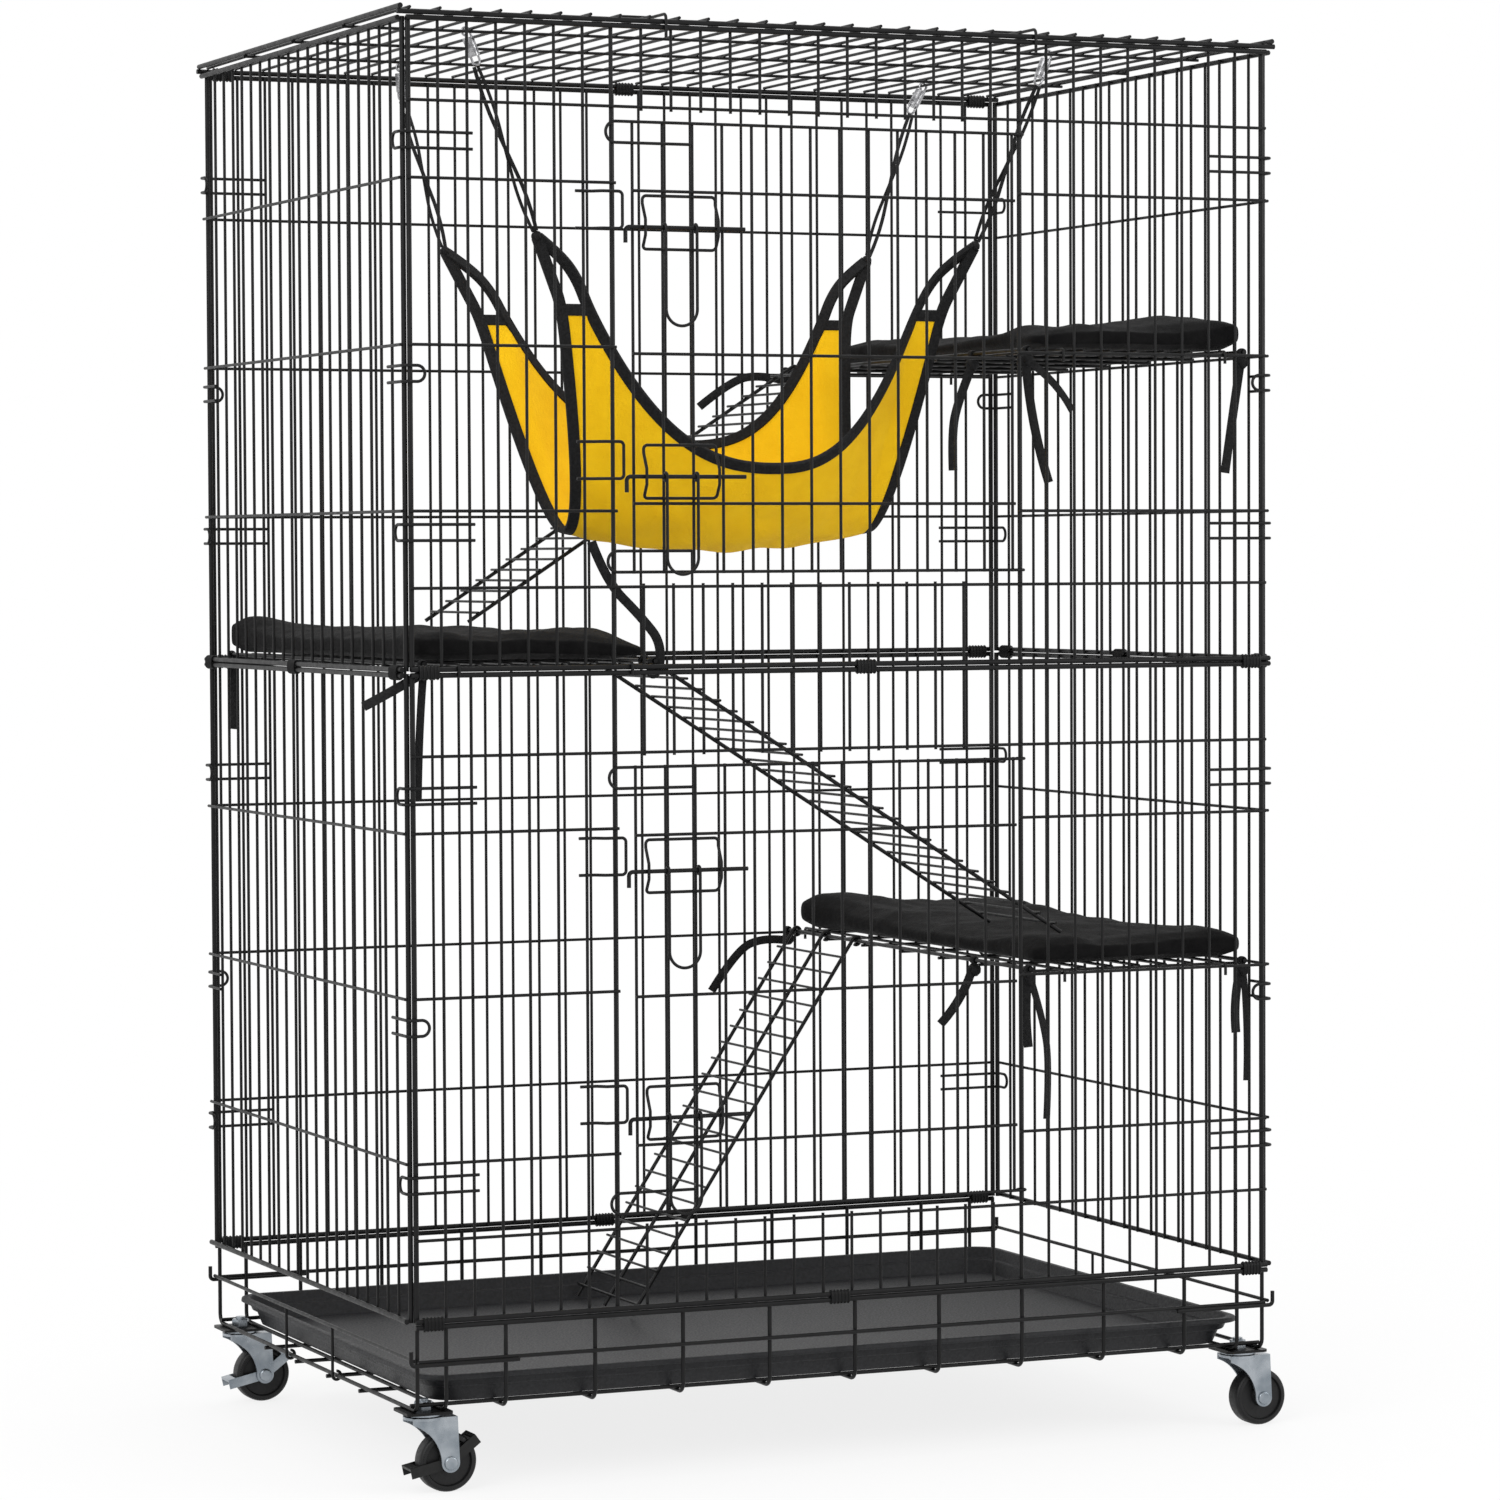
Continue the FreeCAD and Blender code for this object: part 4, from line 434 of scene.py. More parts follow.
step_z = wall_height * TRAY_STEP_SHARE
lean = TRAY_SLOPE - TRAY_STEP
rim_z = 0.0
for up, out in ((step_z, lean * TRAY_STEP_SHARE),
                (TRAY_STEP_RISE, TRAY_STEP),
                (wall_height - step_z - TRAY_STEP_RISE, lean * (1 - TRAY_STEP_SHARE)),
                (0.0, TRAY_RIM - TRAY_LIP_ROOM),
                (-TRAY_LIP, TRAY_LIP_LEAN)):
    rim_z = pull_rim(tray, rim_z, up, out)
shell = tray.modifiers.new("wall", "SOLIDIFY")
shell.thickness = TRAY_WALL
shell.offset = 0.0
soft_edge = tray.modifiers.new("soft_edges", "BEVEL")
soft_edge.width = TRAY_EDGE_ROUND
soft_edge.segments = 2
soft_edge.limit_method = "ANGLE"
soft_edge.angle_limit = TRAY_EDGE_ANGLE
for modifier in ("wall", "soft_edges"):
    bpy.ops.object.modifier_apply(modifier=modifier)
tray.location = (tray_middle.x, tray_middle.y, tray_low.z + TRAY_WALL / 2)
bpy.ops.object.shade_smooth_by_angle(angle=TRAY_SHARP)
settle(tray, "moulded_tray")
hand_over(tray, "tray", tray_plastic, "tray")


# Crimped sleeves that hold the rails of neighbouring panels together: steel strip rolled round
# both rails and pressed into ribs. The ribs sit on the plain sleeve of the CAD model.
RIB_COUNT = 6
RIB_WIRE = 0.0010

scratch = nodes["rail_sleeves"].copy()
scratch.data = nodes["rail_sleeves"].data.copy()
scene.collection.objects.link(scratch)
take(scratch)
bpy.ops.object.mode_set(mode="EDIT")
bpy.ops.mesh.select_all(action="SELECT")
bpy.ops.mesh.remove_doubles(threshold=CLOSE)
bpy.ops.mesh.separate(type="LOOSE")
bpy.ops.object.mode_set(mode="OBJECT")
sleeve_boxes = []
for sleeve in list(bpy.context.selected_objects):
    spots = [v.co for v in sleeve.data.vertices]
    low = Vector([min(s[i] for s in spots) for i in range(3)])
    high = Vector([max(s[i] for s in spots) for i in range(3)])
    sleeve_boxes.append((low, high))
    bpy.data.objects.remove(sleeve)

ribs = []
for low, high in sorted(sleeve_boxes, key=lambda box: tuple(round(c, 4) for c in box[0])):
    size = high - low
    middle = (low + high) / 2
    along_x = size.x > size.y
    length = size.x if along_x else size.y
    width = size.y if along_x else size.x
    bpy.ops.object.select_all(action="DESELECT")
    bpy.ops.mesh.primitive_torus_add(major_radius=width / 2, minor_radius=RIB_WIRE,
                                     major_segments=20, minor_segments=6,
                                     rotation=(0, math.pi / 2, 0))
    rib = bpy.context.object
    bpy.ops.object.transform_apply(rotation=True)
    stretch = (size.z - width) / 2
    for vertex in rib.data.vertices:
        if abs(vertex.co.z) > CLOSE / 10:
            vertex.co.z += math.copysign(stretch, vertex.co.z)
    row = rib.modifiers.new("row", "ARRAY")
    row.count = RIB_COUNT
    row.use_relative_offset = False
    row.use_constant_offset = True
    pitch = (length - 2 * RIB_WIRE) / (RIB_COUNT - 1)
    row.constant_offset_displace = (pitch, 0, 0)
    bpy.ops.object.modifier_apply(modifier="row")
    start = Vector((-(length / 2 - RIB_WIRE), 0, 0))
    rib.data.transform(Matrix.Translation(start))
    if not along_x:
        rib.data.transform(Matrix.Rotation(math.pi / 2, 4, "Z"))
    rib.data.transform(Matrix.Translation(middle))
    ribs.append(rib)
take(*ribs)
bpy.ops.object.join()
crimps = bpy.context.object
bpy.ops.object.shade_smooth()
settle(crimps, "sleeve_crimps")
hand_over(crimps, "cage", powder_coat)


# Three shelf mats: thin polyester wadding sewn into soft black brushed cloth. They lie slack on
# the racks, so the tops roll and the ties draw the corners out.
MAT_VOXEL = 0.006
MAT_SHRINK = 0.001
MAT_FLAT = 0.0125
MAT_PRESSURE = 4.0
MAT_FRAMES = 20
MAT_CAP = 0.0065
MAT_ROLL = 0.34
MAT_CREASE = 0.12
MAT_TIE_REACH = 0.085
MAT_TIE_FADE = 1.5
MAT_ROUND = 0.014
MAT_LIFT = 0.8
MAT_RACK_GAP = 0.0003
ROLL_PITCH = (11.0, 8.0, 40.0)
CREASE_PITCH = (44.0, 26.0, 90.0)
MAT_DARK = (0.0026, 0.0025, 0.0027)
MAT_LIGHT = (0.0056, 0.0054, 0.0056)
MAT_SWELLS = {  # middle, gain in height and reach of each swell
    "lower": [((0.230, 0.255), 0.65, 0.075),
              ((0.34, 0.16), 0.25, 0.10),
              ((0.41, -0.20), 0.15, 0.09)],
    "middle": [((-0.425, 0.27), 0.45, 0.05),
               ((-0.30, -0.20), 0.15, 0.10),
               ((-0.40, -0.05), 0.15, 0.12)],
    "upper": [((0.41, -0.20), 0.45, 0.09),
              ((0.38, 0.12), 0.20, 0.14),
              ((0.22, -0.05), -0.35, 0.12)],
}
MAT_CORNERS = {  # corners drawn by a tie: edge, side, shift, gain in height
    "lower": [("inner", 1, (-0.013, 0.004), 0.1),
              ("inner", -1, (-0.006, -0.004), -0.2),
              ("outer", -1, (0.004, -0.006), 0.1)],
    "middle": [("inner", -1, (0.013, -0.005), -0.6),
               ("inner", 1, (0.004, 0.003), -0.1),
               ("outer", 1, (-0.003, 0.004), 0.2)],
    "upper": [("inner", -1, (-0.006, -0.004), -0.5),
              ("inner", 1, (-0.008, 0.004), -0.3),
              ("outer", -1, (0.004, -0.006), 0.2)],
}

mat_cloth = finish("mat_cloth", (MAT_DARK, MAT_LIGHT), cloud=(0.02, 3.0), rough=(0.85, 0.98),
                   patch=0.004, bumps=[(0.012, 4.0, 0.0009), (0.0009, 2.0, 0.00035)], specular=0.1)


def brush(material, weight, rough):
    """Gives a cloth the sheen of its raised fibres, and returns its shader."""
    shader = material.node_tree.nodes["Principled BSDF"]
    shader.inputs["Sheen Weight"].default_value = weight
    shader.inputs["Sheen Roughness"].default_value = rough
    return shader


brush(mat_cloth, 0.025, 0.5)


def blown_up(piece):
    """Lets air pressure fill the piece like wadding, no point further than the cap."""
    before = [v.co.copy() for v in piece.data.vertices]
    cloth = piece.modifiers.new("wadding", "CLOTH")
    cloth.settings.use_pressure = True
    cloth.settings.uniform_pressure_force = MAT_PRESSURE
    cloth.settings.effector_weights.gravity = 0.0
    cloth.point_cache.frame_end = MAT_FRAMES
    for step in range(1, MAT_FRAMES + 1):
        scene.frame_set(step)
    filled = piece.evaluated_get(bpy.context.evaluated_depsgraph_get())
    after = [v.co.copy() for v in filled.data.vertices]
    piece.modifiers.remove(cloth)
    scene.frame_set(1)
    for vertex, old, new in zip(piece.data.vertices, before, after):
        shift = new - old
        if shift.length > MAT_CAP:
            shift *= MAT_CAP / shift.length
        vertex.co = old + shift


def drawn_corners(level, low, high):
    """The corners of a mat that its ties draw out, each with its shift and its gain in height."""
    found = []
    for edge, side, shift, gain in MAT_CORNERS[level]:
        at_left = (edge == "outer") == (level == "middle")
        corner = Vector((low.x if at_left else high.x, high.y if side > 0 else low.y))
        found.append((corner, Vector(shift), gain))
    return found


def swell(level, spot, seed):
    """How many times as thick as its wadding a mat is at a spot: long rolls, creases and swells."""
    gain = 1.0
    for share, pitch in ((MAT_ROLL, ROLL_PITCH), (MAT_CREASE, CREASE_PITCH)):
        gain += share * noise.noise(Vector((spot.x * pitch[0], spot.y * pitch[1], seed * pitch[2])))
    for (x, y), height, reach in MAT_SWELLS[level]:
        away = ((spot.x - x) ** 2 + (spot.y - y) ** 2) / reach ** 2
        gain += height * math.exp(-away)
    return gain


def shelf_mat(level):
    node = level + "_shelf_cushion"
    low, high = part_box(node)
    size = high - low
    middle = (low + high) / 2
    bpy.ops.object.select_all(action="DESELECT")
    bpy.ops.mesh.primitive_cube_add(size=1.0)
    mat = bpy.context.object
    mat.scale = (size.x - 2 * MAT_SHRINK, size.y - 2 * MAT_SHRINK, MAT_FLAT)
    bpy.ops.object.transform_apply(scale=True)
    pick(mat, "EDGE", lambda a, b: abs(a.z - b.z) > MAT_FLAT / 2)
    bpy.ops.mesh.bevel(offset=MAT_ROUND, segments=4)
    bpy.ops.object.mode_set(mode="OBJECT")
    fine = mat.modifiers.new("fine", "REMESH")
    fine.mode = "VOXEL"
    fine.voxel_size = MAT_VOXEL
    bpy.ops.object.modifier_apply(modifier="fine")
    blown_up(mat)
    centre_z = low.z + MAT_FLAT / 2 + MAT_CAP * MAT_LIFT
    mat.data.transform(Matrix.Translation((middle.x, middle.y, centre_z)))
    floor_z = low.z + MAT_RACK_GAP
    corners = drawn_corners(level, low, high)
    for vertex in mat.data.vertices:
        spot = vertex.co
        up = max(0.0, spot.z - floor_z)
        gain = swell(level, spot, low.z)
        flat = spot.xy.copy()
        for corner, shift, rise in corners:
            near = max(0.0, 1 - (corner - flat).length / MAT_TIE_REACH) ** MAT_TIE_FADE
            spot.xy += shift * near
            gain *= 1 + rise * near
        spot.z = floor_z + up * gain
    smooth = mat.modifiers.new("pile", "SUBSURF")
    smooth.levels = 1
    smooth.render_levels = 1
    bpy.ops.object.modifier_apply(modifier="pile")
    bpy.ops.object.shade_smooth()
    settle(mat, level + "_shelf_mat")
    hand_over(mat, "cage", mat_cloth, node)


for level in ("lower", "middle", "upper"):
    shelf_mat(level)


# Ties of the mats: flat cotton tape, looped round the rack's edge wire, knotted under it and
# left to hang. Each tail is one limp tape with a bare cut end.
TAPE_WIDTH = 0.0090
TAPE_THICK = 0.0016
TAPE_SWAY = 0.35
TAPE_TILT = 0.15
TAPE_SHARP = math.radians(50)
TAPE_DARK = (0.0040, 0.0040, 0.0044)
TAPE_LIGHT = (0.0105, 0.0105, 0.0110)
KNOT_SIZE = 0.015
KNOT_CLEAR = 0.0004
KNOT_TURNS = ((0.0, 0.5, 0.3), (1.1, 0.2, 1.0), (0.6, 1.3, 2.0))
KNOT_LOOP = 0.27
KNOT_STRAND = 0.21
WIRE_LOOP = 0.7
WIRE_STRAND = 0.62
NECK_RADIUS = 0.45
NECK_SHAPE = (0.6, 0.9, 0.9)
TAIL_START = 0.65
RAIL_END = 0.003
EDGE_WIRE = 0.004
KNOT_Y = 0.294
SIDE_KNOT_Y = -0.172
TIE_TAILS = {
    "lower": {
        ("inner", SIDE_KNOT_Y): [[(-6, 0, -6), (-14, 2, -32), (-36, 4, -54)]],
        ("inner", -KNOT_Y): [[(-2, 0, -8), (-4, 0, -36), (1, 2, -68)],
                             [(6, 0, -6), (17, 1, -42), (24, 2, -84), (20, 0, -140)]],
        ("outer", -KNOT_Y): [[(-5, 0, -7), (-9, 2, -32), (-7, 0, -63)],
                             [(3, 0, -8), (8, 2, -58), (5, 0, -112)]],
        ("inner", KNOT_Y): [[(-8, 0, -2), (-28, 1, 2), (-60, 2, -10), (-91, 0, -54)]],
    },
    "middle": {
        ("inner", -KNOT_Y): [[(8, 0, 1), (11, 0, 24), (-13, 0, 53), (-48, 0, 86), (-63, 0, 124)]],
        ("outer", -KNOT_Y): [[(-8, 0, -3), (-34, 2, -18), (-58, 0, -29)],
                             [(1, 0, -8), (-3, 2, -56), (-5, 0, -117)]],
        ("outer", KNOT_Y): [[(0, 0, -8), (3, -2, -36), (-1, -3, -68)]],
    },
    "upper": {
        ("inner", SIDE_KNOT_Y): [[(-3, 0, -8), (-15, 1, -36), (-22, 3, -68), (-20, 4, -107)]],
        ("inner", -KNOT_Y): [[(-1, 0, -8), (5, 2, -63), (24, 0, -121)],
                             [(7, 0, -5), (35, 2, -22), (50, 0, -50)]],
        ("outer", -KNOT_Y): [[(-3, 0, -8), (-9, 2, -53), (-19, 0, -111)]],
        ("inner", KNOT_Y): [[(-8, 0, 0), (-28, 1, 5), (-62, 2, 0), (-102, 0, -30)]],
    },
}

tape_cotton = finish("tape_cotton", (TAPE_DARK, TAPE_LIGHT), cloud=(0.003, 3.0), rough=(0.75, 0.92),
                     patch=0.002, bumps=[(0.0007, 2.0, 0.0003)], specular=0.25)


def smooth_line(route):
    """Points along the NURBS spline that has the route as its control points."""
    curve = bpy.data.curves.new("route", "CURVE")
    curve.dimensions = "3D"
    spline = curve.splines.new("NURBS")
    spline.points.add(len(route) - 1)
    for point, spot in zip(spline.points, route):
        point.co = (*spot, 1.0)
    spline.order_u = 3
    spline.use_endpoint_u = True
    spline.resolution_u = 10
    guide = bpy.data.objects.new("route", curve)
    scene.collection.objects.link(guide)
    line = bpy.data.meshes.new_from_object(guide)
    spots = [v.co.copy() for v in line.vertices]
    bpy.data.objects.remove(guide)
    bpy.data.curves.remove(curve)
    bpy.data.meshes.remove(line)
    return spots


def swept_tape(name, line, width, thick, faces):
    """Flat tape along a line; faces gives, for each point, where its broad side looks."""
    half_w = width / 2
    half_t = thick / 2
    upper = [(half_w, half_t * 0.5), (half_w * 0.9, half_t), (0, half_t * 1.1),
             (-half_w * 0.9, half_t), (-half_w, half_t * 0.5)]
    outline = [(-a, -o) for a, o in upper] + upper
    count = len(outline)
    spots = []
    for index, spot in enumerate(line):
        ahead = (line[min(index + 1, len(line) - 1)] - line[max(index - 1, 0)]).normalized()
        across = ahead.cross(faces[index]).normalized()
        out = across.cross(ahead).normalized()
        spots += [spot + across * a + out * o for a, o in outline]
    sides = []
    for index in range(len(line) - 1):
        for k in range(count):
            a = index * count + k
            b = index * count + (k + 1) % count
            sides.append((a, b, b + count, a + count))
    last = (len(line) - 1) * count
    sides.append(tuple(reversed(range(count))))
    sides.append(tuple(range(last, last + count)))
    mesh = bpy.data.meshes.new(name)
    mesh.from_pydata(spots, [], sides)
    tape = bpy.data.objects.new(name, mesh)
    scene.collection.objects.link(tape)
    take(tape)
    bpy.ops.object.mode_set(mode="EDIT")
    bpy.ops.mesh.select_all(action="SELECT")
    bpy.ops.mesh.normals_make_consistent(inside=False)
    bpy.ops.object.mode_set(mode="OBJECT")
    bpy.ops.object.shade_smooth_by_angle(angle=TAPE_SHARP)
    return tape


def tied_knot(name, middle, size, wire=None):
    """Lumpy knot of crossed loops, with a loop over the wire that it hangs from."""
    made = []
    bpy.ops.object.select_all(action="DESELECT")
    for turn in KNOT_TURNS:
        bpy.ops.mesh.primitive_torus_add(major_radius=size * KNOT_LOOP, minor_radius=size * KNOT_STRAND,
                                         major_segments=20, minor_segments=10,
                                         rotation=turn, location=middle)
        made.append(bpy.context.object)
    if wire is not None:
        strand = TAPE_THICK * WIRE_STRAND
        bpy.ops.mesh.primitive_torus_add(major_radius=EDGE_WIRE / 2 + TAPE_THICK * WIRE_LOOP,
                                         minor_radius=strand, major_segments=24, minor_segments=10,
                                         rotation=(math.pi / 2, 0, 0), location=wire)
        loop = bpy.context.object
        loop.scale = (1.0, 1.0, TAPE_WIDTH / (2 * strand))
        made.append(loop)
        bpy.ops.mesh.primitive_uv_sphere_add(segments=16, ring_count=10, radius=TAPE_WIDTH * NECK_RADIUS,
                                             location=(middle + wire) / 2)
        neck = bpy.context.object
        stretch = (wire.z - middle.z) / TAPE_WIDTH
        neck.scale = (NECK_SHAPE[0], NECK_SHAPE[1], stretch * NECK_SHAPE[2])
        made.append(neck)
    take(*made)
    bpy.ops.object.join()
    knot = bpy.context.object
    settle(knot, name)
    bpy.ops.object.shade_smooth()
    return knot


def cushion_ties(level):
    node = level + "_cushion_ties"
    rack_low, rack_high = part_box(level + "_shelf_rack")
    left, right = rack_low.x + RAIL_END, rack_high.x - RAIL_END
    edges = {"inner": right, "outer": left} if level == "middle" else {"inner": left, "outer": right}
    wire_z = rack_high.z - EDGE_WIRE / 2
    drop = EDGE_WIRE / 2 + KNOT_CLEAR + KNOT_SIZE / 2
    for number, ((edge, y), tails) in enumerate(TIE_TAILS[level].items(), 1):
        wire = Vector((edges[edge], y, wire_z))
        middle = wire - Vector((0, 0, drop))
        knot = tied_knot("%s_tie_knot_%d" % (level, number), middle, KNOT_SIZE, wire)
        hand_over(knot, "cage", tape_cotton, node)
        for count, tail in enumerate(tails, 1):
            route = [middle + Vector(point) / 1000 for point in tail]
            route[0] = middle.lerp(route[0], TAIL_START)
            line = smooth_line(route)
            faces = [Vector((TAPE_SWAY * (-1) ** count, -1.0, TAPE_TILT))] * len(line)
            name = "%s_tie_tail_%d_%d" % (level, number, count)
            tape = swept_tape(name, line, TAPE_WIDTH, TAPE_THICK, faces)
            hand_over(tape, "cage", tape_cotton, node)


for level in ("lower", "middle", "upper"):
    cushion_ties(level)


# Hammock cloth: one piece of yellow fleece whose four sides are cut to hollow curves, hung by its
# corners so that the middle sags into a trough.
HAMMOCK_X = -0.019
BASE_Z = 0.081
HAMMOCK_HALF = 0.116
HAMMOCK_SIDE_TOP = 0.178
HAMMOCK_END_TOP = 0.210
HAMMOCK_ENDS = (0.161, 0.177)
HAMMOCK_LOW = BASE_Z + 0.808
HAMMOCK_END_LOW = BASE_Z + 0.827
HAMMOCK_FRONT_LOW = BASE_Z + 0.892
HAMMOCK_BACK_LOW = BASE_Z + 0.920
HAMMOCK_LOW_X = 0.027
HAMMOCK_TOP = BASE_Z + 1.048
HEM_CURVE = 2.6
HAMMOCK_FOOT = 0.058
CLOTH_THICK = 0.003
CLOTH_COLUMNS = 88
CLOTH_ROWS = 72
CLOTH_FOLD = 0.0028
PULL_LAYER = 3.7
SAG_LAYER = 9.1
YELLOW_DARK = (0.86, 0.49, 0.004)
YELLOW_LIGHT = (0.93, 0.56, 0.007)
YELLOW_SHEEN = (1.0, 0.75, 0.2, 1.0)

fleece = finish("yellow_fleece", (YELLOW_DARK, YELLOW_LIGHT), cloud=(0.03, 4.0), rough=(0.88, 0.98),
                patch=0.003, bumps=[(0.0032, 3.0, 0.0006), (0.0008, 2.0, 0.0003)], specular=0.15,
                span=(0.3, 0.7))
brush(fleece, 0.15, 0.6).inputs["Sheen Tint"].default_value = YELLOW_SHEEN


def hem_height(x, low):
    """Height at x of a long edge of the cloth whose lowest point is at low."""
    if abs(x) >= HAMMOCK_SIDE_TOP:
        return HAMMOCK_TOP
    end = math.copysign(HAMMOCK_SIDE_TOP, x - HAMMOCK_LOW_X)
    share = (x - HAMMOCK_LOW_X) / (end - HAMMOCK_LOW_X)
    return low + (HAMMOCK_TOP - low) * share ** HEM_CURVE


def cloth_spot(along, across):
    """Place of the cloth at along, from -1 to 1 between its ends, and across, from front to back."""
    x = along * HAMMOCK_END_TOP
    foot = HAMMOCK_LOW + (HAMMOCK_END_LOW - HAMMOCK_LOW) * along ** 2
    front = hem_height(x, HAMMOCK_FRONT_LOW)
    back = hem_height(x, HAMMOCK_BACK_LOW)
    top = (front + back) / 2
    share = abs(across)
    side = 2 * share * (1 - share) * HAMMOCK_FOOT + share ** 2 * HAMMOCK_HALF
    z = foot + ((front if across < 0 else back) - foot) * share ** 2
    end = HAMMOCK_ENDS[0 if along < 0 else 1]
    lean = x * (1 - end / HAMMOCK_END_TOP) * (top - z) / (top - foot)
    return Vector((HAMMOCK_X + x - lean, math.copysign(side, across), z))


bpy.ops.object.select_all(action="DESELECT")
bpy.ops.mesh.primitive_grid_add(x_subdivisions=CLOTH_COLUMNS, y_subdivisions=CLOTH_ROWS, size=2.0)
cloth = bpy.context.object
for vertex in cloth.data.vertices:
    along, across = vertex.co.x, vertex.co.y
    spot = cloth_spot(along, across)
    edge = (1 - along ** 6) * (1 - across ** 6)
    pull = noise.noise(Vector((along * 3.0 + across * 2.2, across * 5.0 - along * 4.0, PULL_LAYER)))
    spot.y += pull * CLOTH_FOLD * edge * math.copysign(min(1.0, abs(across) * 2), across)
    spot.z += noise.noise(Vector((along * 5.0, across * 4.0, SAG_LAYER))) * CLOTH_FOLD * edge
    vertex.co = spot
wall = cloth.modifiers.new("fleece", "SOLIDIFY")
wall.thickness = CLOTH_THICK
wall.offset = 0.0
bpy.ops.object.modifier_apply(modifier="fleece")
bpy.ops.object.shade_smooth()
settle(cloth, "hammock_fleece")
hand_over(cloth, "cage", fleece, "hammock_cloth")


# Hammock hems: black cotton tape folded over every cut edge. The long ones run on past the
# corners and meet at the four strap knots, and a short one closes each corner.
HEM_WIDTH = 0.0115
HEM_THICK = 0.0054
HEM_IN = 0.0035
HEM_LOOP = 0.010
HEM_BOW = (0.8, 0.6)
HEM_RUN = (0.02, 0.32, 0.64)
HEM_STEP = 0.02
KNOT_X = 0.238
STRAP_KNOT_Y = 0.131
KNOT_Z = BASE_Z + 1.115
HEM_POINTS = 15


def hem_line(spots_and_inwards):
    """Smooth line and broad sides of a hem that lies a little inside the cloth's edge."""
    line = smooth_line([spot + inward * HEM_IN for spot, inward, side in spots_and_inwards])
    last = len(spots_and_inwards) - 1
    faces = []
    for index in range(len(line)):
        share = index / (len(line) - 1) * last
        low = min(int(share), last - 1)
        a, b = spots_and_inwards[low][2], spots_and_inwards[low + 1][2]
        faces.append(a.lerp(b, share - low).normalized())
    return line, faces


def edge_points(start, end, fixed, along_x):
    """Spots, inward and outward directions along one edge of the cloth."""
    found = []
    for index in range(HEM_POINTS):
        share = start + (end - start) * index / (HEM_POINTS - 1)
        here = (share, fixed) if along_x else (fixed, share)
        spot = cloth_spot(*here)
        step = -math.copysign(HEM_STEP, fixed)
        inner = cloth_spot(share, fixed + step) if along_x else cloth_spot(fixed + step, share)
        near = HEM_STEP if share < 0 else -HEM_STEP
        aside = cloth_spot(share + near, fixed) if along_x else cloth_spot(fixed, share + near)
        inward = (inner - spot).normalized()
        ahead = (aside - spot).normalized() * (1 if near > 0 else -1)
        found.append((spot, inward, ahead.cross(inward).normalized()))
    return found


def add_hem(name, points):
    line, faces = hem_line(points)
    hem = swept_tape(name, line, HEM_WIDTH, HEM_THICK, faces)
    hand_over(hem, "cage", tape_cotton, "hammock_binding")
    return hem


def strap_knot_place(sx, sy):
    return Vector((HAMMOCK_X + sx * KNOT_X, sy * STRAP_KNOT_Y, KNOT_Z))


def to_knot(points, sx, sy, first, loop):
    """The hem's free run from the corner of the cloth to the strap knot, bowed in by loop."""
    knot = strap_knot_place(sx, sy)
    corner = points[0] if first else points[-1]
    bow = Vector((-sx * HEM_BOW[0], 0, HEM_BOW[1])) * loop
    run = []
    for share in HEM_RUN:
        spot = knot.lerp(corner[0], share) + bow * math.sin(math.pi * share)
        run.append((spot, corner[1] * share, corner[2]))
    return run + points if first else points + run[::-1]


corner_share = HAMMOCK_SIDE_TOP / HAMMOCK_END_TOP
for side, sy in (("front", -1), ("back", 1)):
    points = edge_points(-corner_share, corner_share, sy, True)
    points = to_knot(to_knot(points, -1, sy, True, HEM_LOOP), 1, sy, False, HEM_LOOP)
    add_hem("hammock_%s_hem" % side, points)
    for end, sx in (("left", -1), ("right", 1)):
        short = edge_points(sx * corner_share, sx, sy, True)
        add_hem("hammock_%s_%s_corner_hem" % (side, end), short)
for end, sx in (("left", -1), ("right", 1)):
    points = edge_points(-1.0, 1.0, sx, False)
    points = to_knot(to_knot(points, sx, -1, True, 0.0), sx, 1, False, 0.0)
    add_hem("hammock_%s_hem" % end, points)


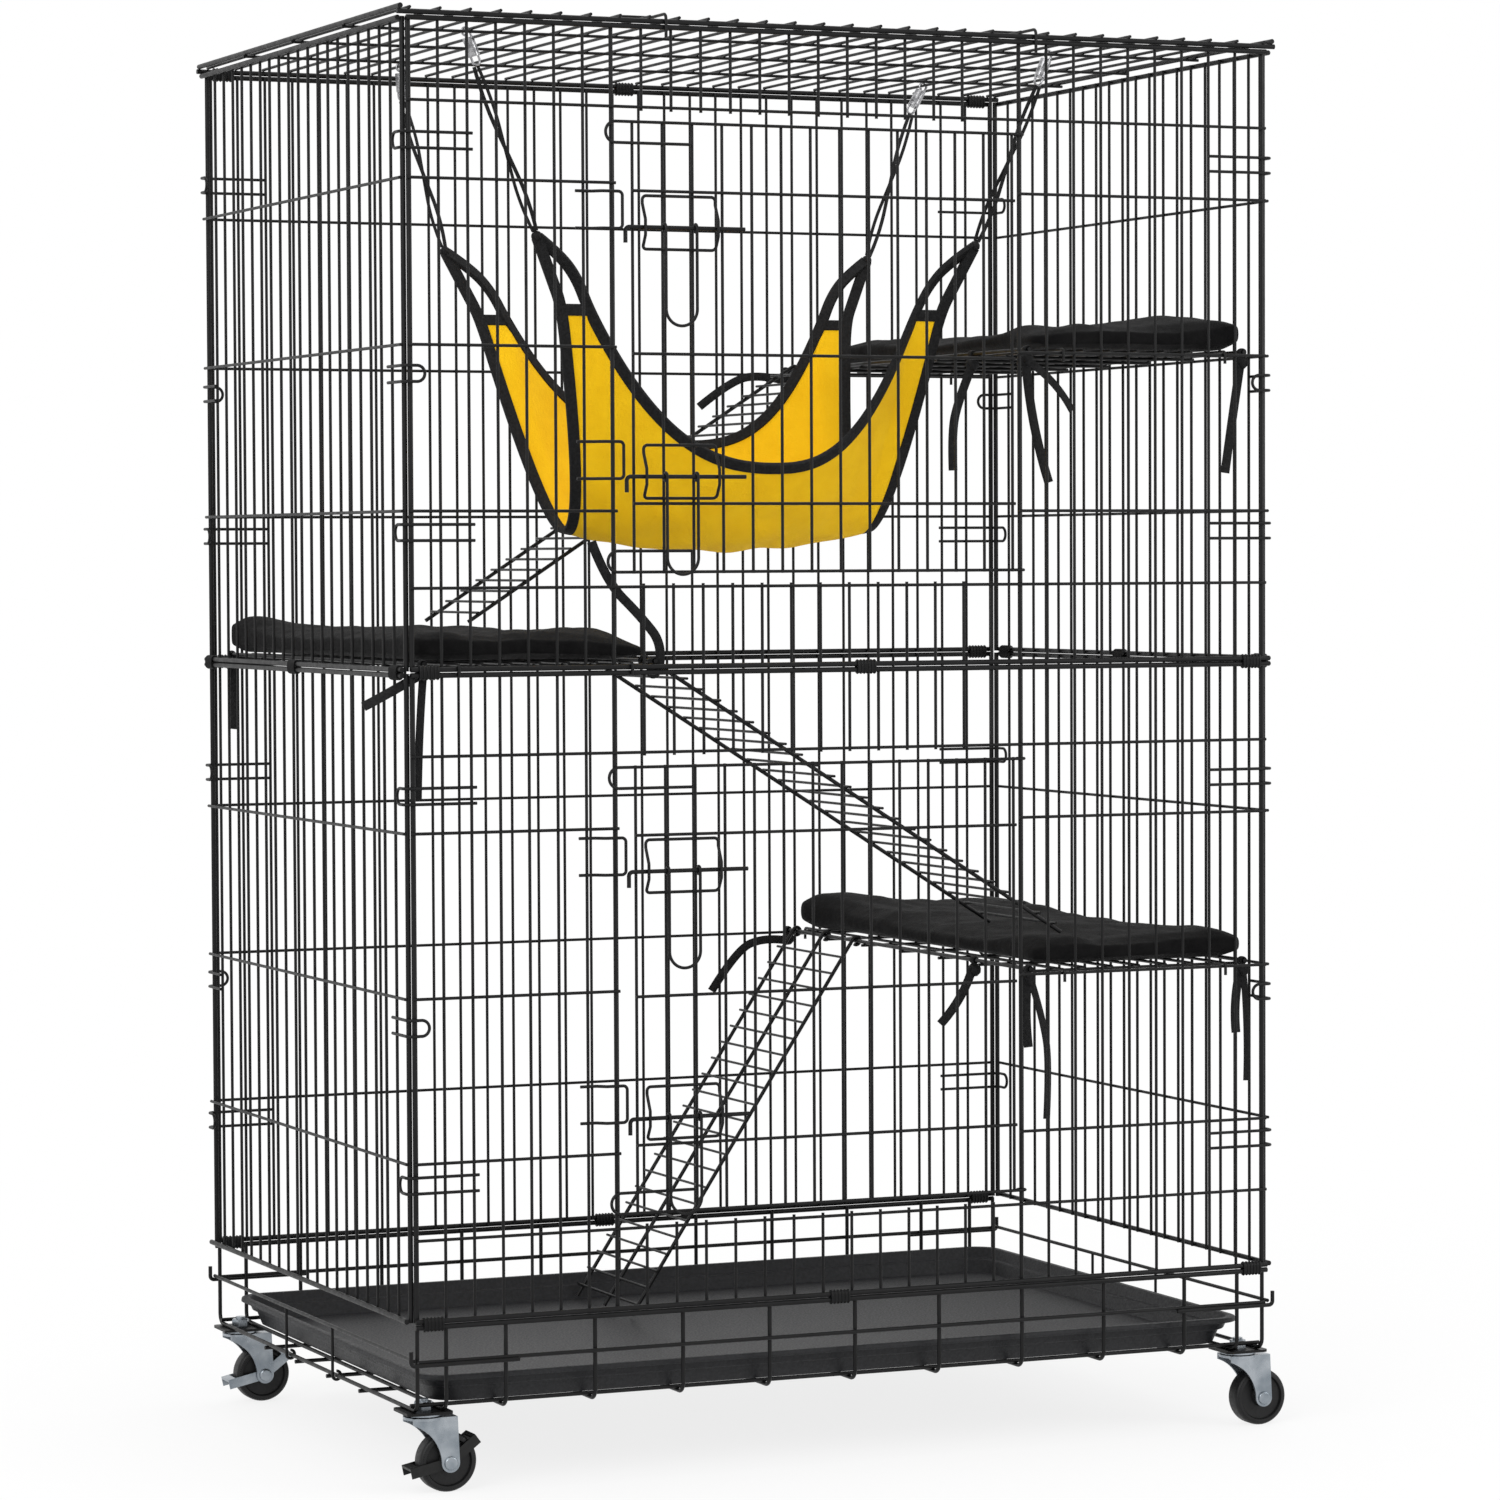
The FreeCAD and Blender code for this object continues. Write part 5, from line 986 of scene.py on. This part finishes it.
# Hammock straps: doubled cotton tape from each corner knot up to a snap hook on the roof wires.
# The knots gather the hems and the strap; the hooks are bright die-cast metal.
STRAP_WIDTH = 0.0038
STRAP_THICK = 0.0013
STRAP_APART = 0.0034
STRAP_CROSS = 0.0011
STRAP_KNOT = 0.0115
STRAP_SHAPE = (  # share of the way down, distance from the middle line
    (0.0, 0.7), (0.2, 1.5), (0.5, 0.0), (0.8, -1.5), (0.97, -0.4))
STRAP_TURN = 0.4
STRAP_FACE = (-0.9, 0.25)
SNAP_DARK = (0.20, 0.20, 0.21)
SNAP_LIGHT = (0.46, 0.46, 0.47)

snap_bright = finish("snap_bright", (SNAP_DARK, SNAP_LIGHT), cloud=(0.004, 3.0), rough=(0.18, 0.3),
                     patch=0.002, bumps=[(0.0008, 2.0, 0.00005)], metallic=1.0)
dress(nodes["snap_hooks"], snap_bright)

hook_spots = [v.co.copy() for v in nodes["snap_hooks"].data.vertices]
for end, sx in (("left", -1), ("right", 1)):
    for side, sy in (("front", -1), ("back", 1)):
        label = "%s_%s" % (side, end)
        middle = strap_knot_place(sx, sy)
        knot = tied_knot("strap_knot_" + label, middle, STRAP_KNOT)
        hand_over(knot, "cage", tape_cotton, "hammock_straps")
        own = [s for s in hook_spots if s.x * sx > 0 and s.y * sy > 0]
        ring = min(own, key=lambda spot: spot.z).copy()
        ring.y = sum(s.y for s in own) / len(own)
        ahead = (middle - ring).normalized()
        across = ahead.cross(Vector((0, 1, 0))).normalized()
        for count, way in ((1, -1), (2, 1)):
            clear = Vector((0, way * STRAP_CROSS, 0))
            route = []
            for share, apart in STRAP_SHAPE:
                route.append(ring.lerp(middle, share) + across * way * apart * STRAP_APART + clear)
            line = smooth_line(route)
            faces = [Vector((way * STRAP_TURN, *STRAP_FACE))] * len(line)
            strap = swept_tape("strap_%s_%d" % (label, count), line, STRAP_WIDTH, STRAP_THICK, faces)
            hand_over(strap, "cage", tape_cotton, "hammock_straps")


# The size of the dressed cage, from the bounds of every shown piece but the floor.
low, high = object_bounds()
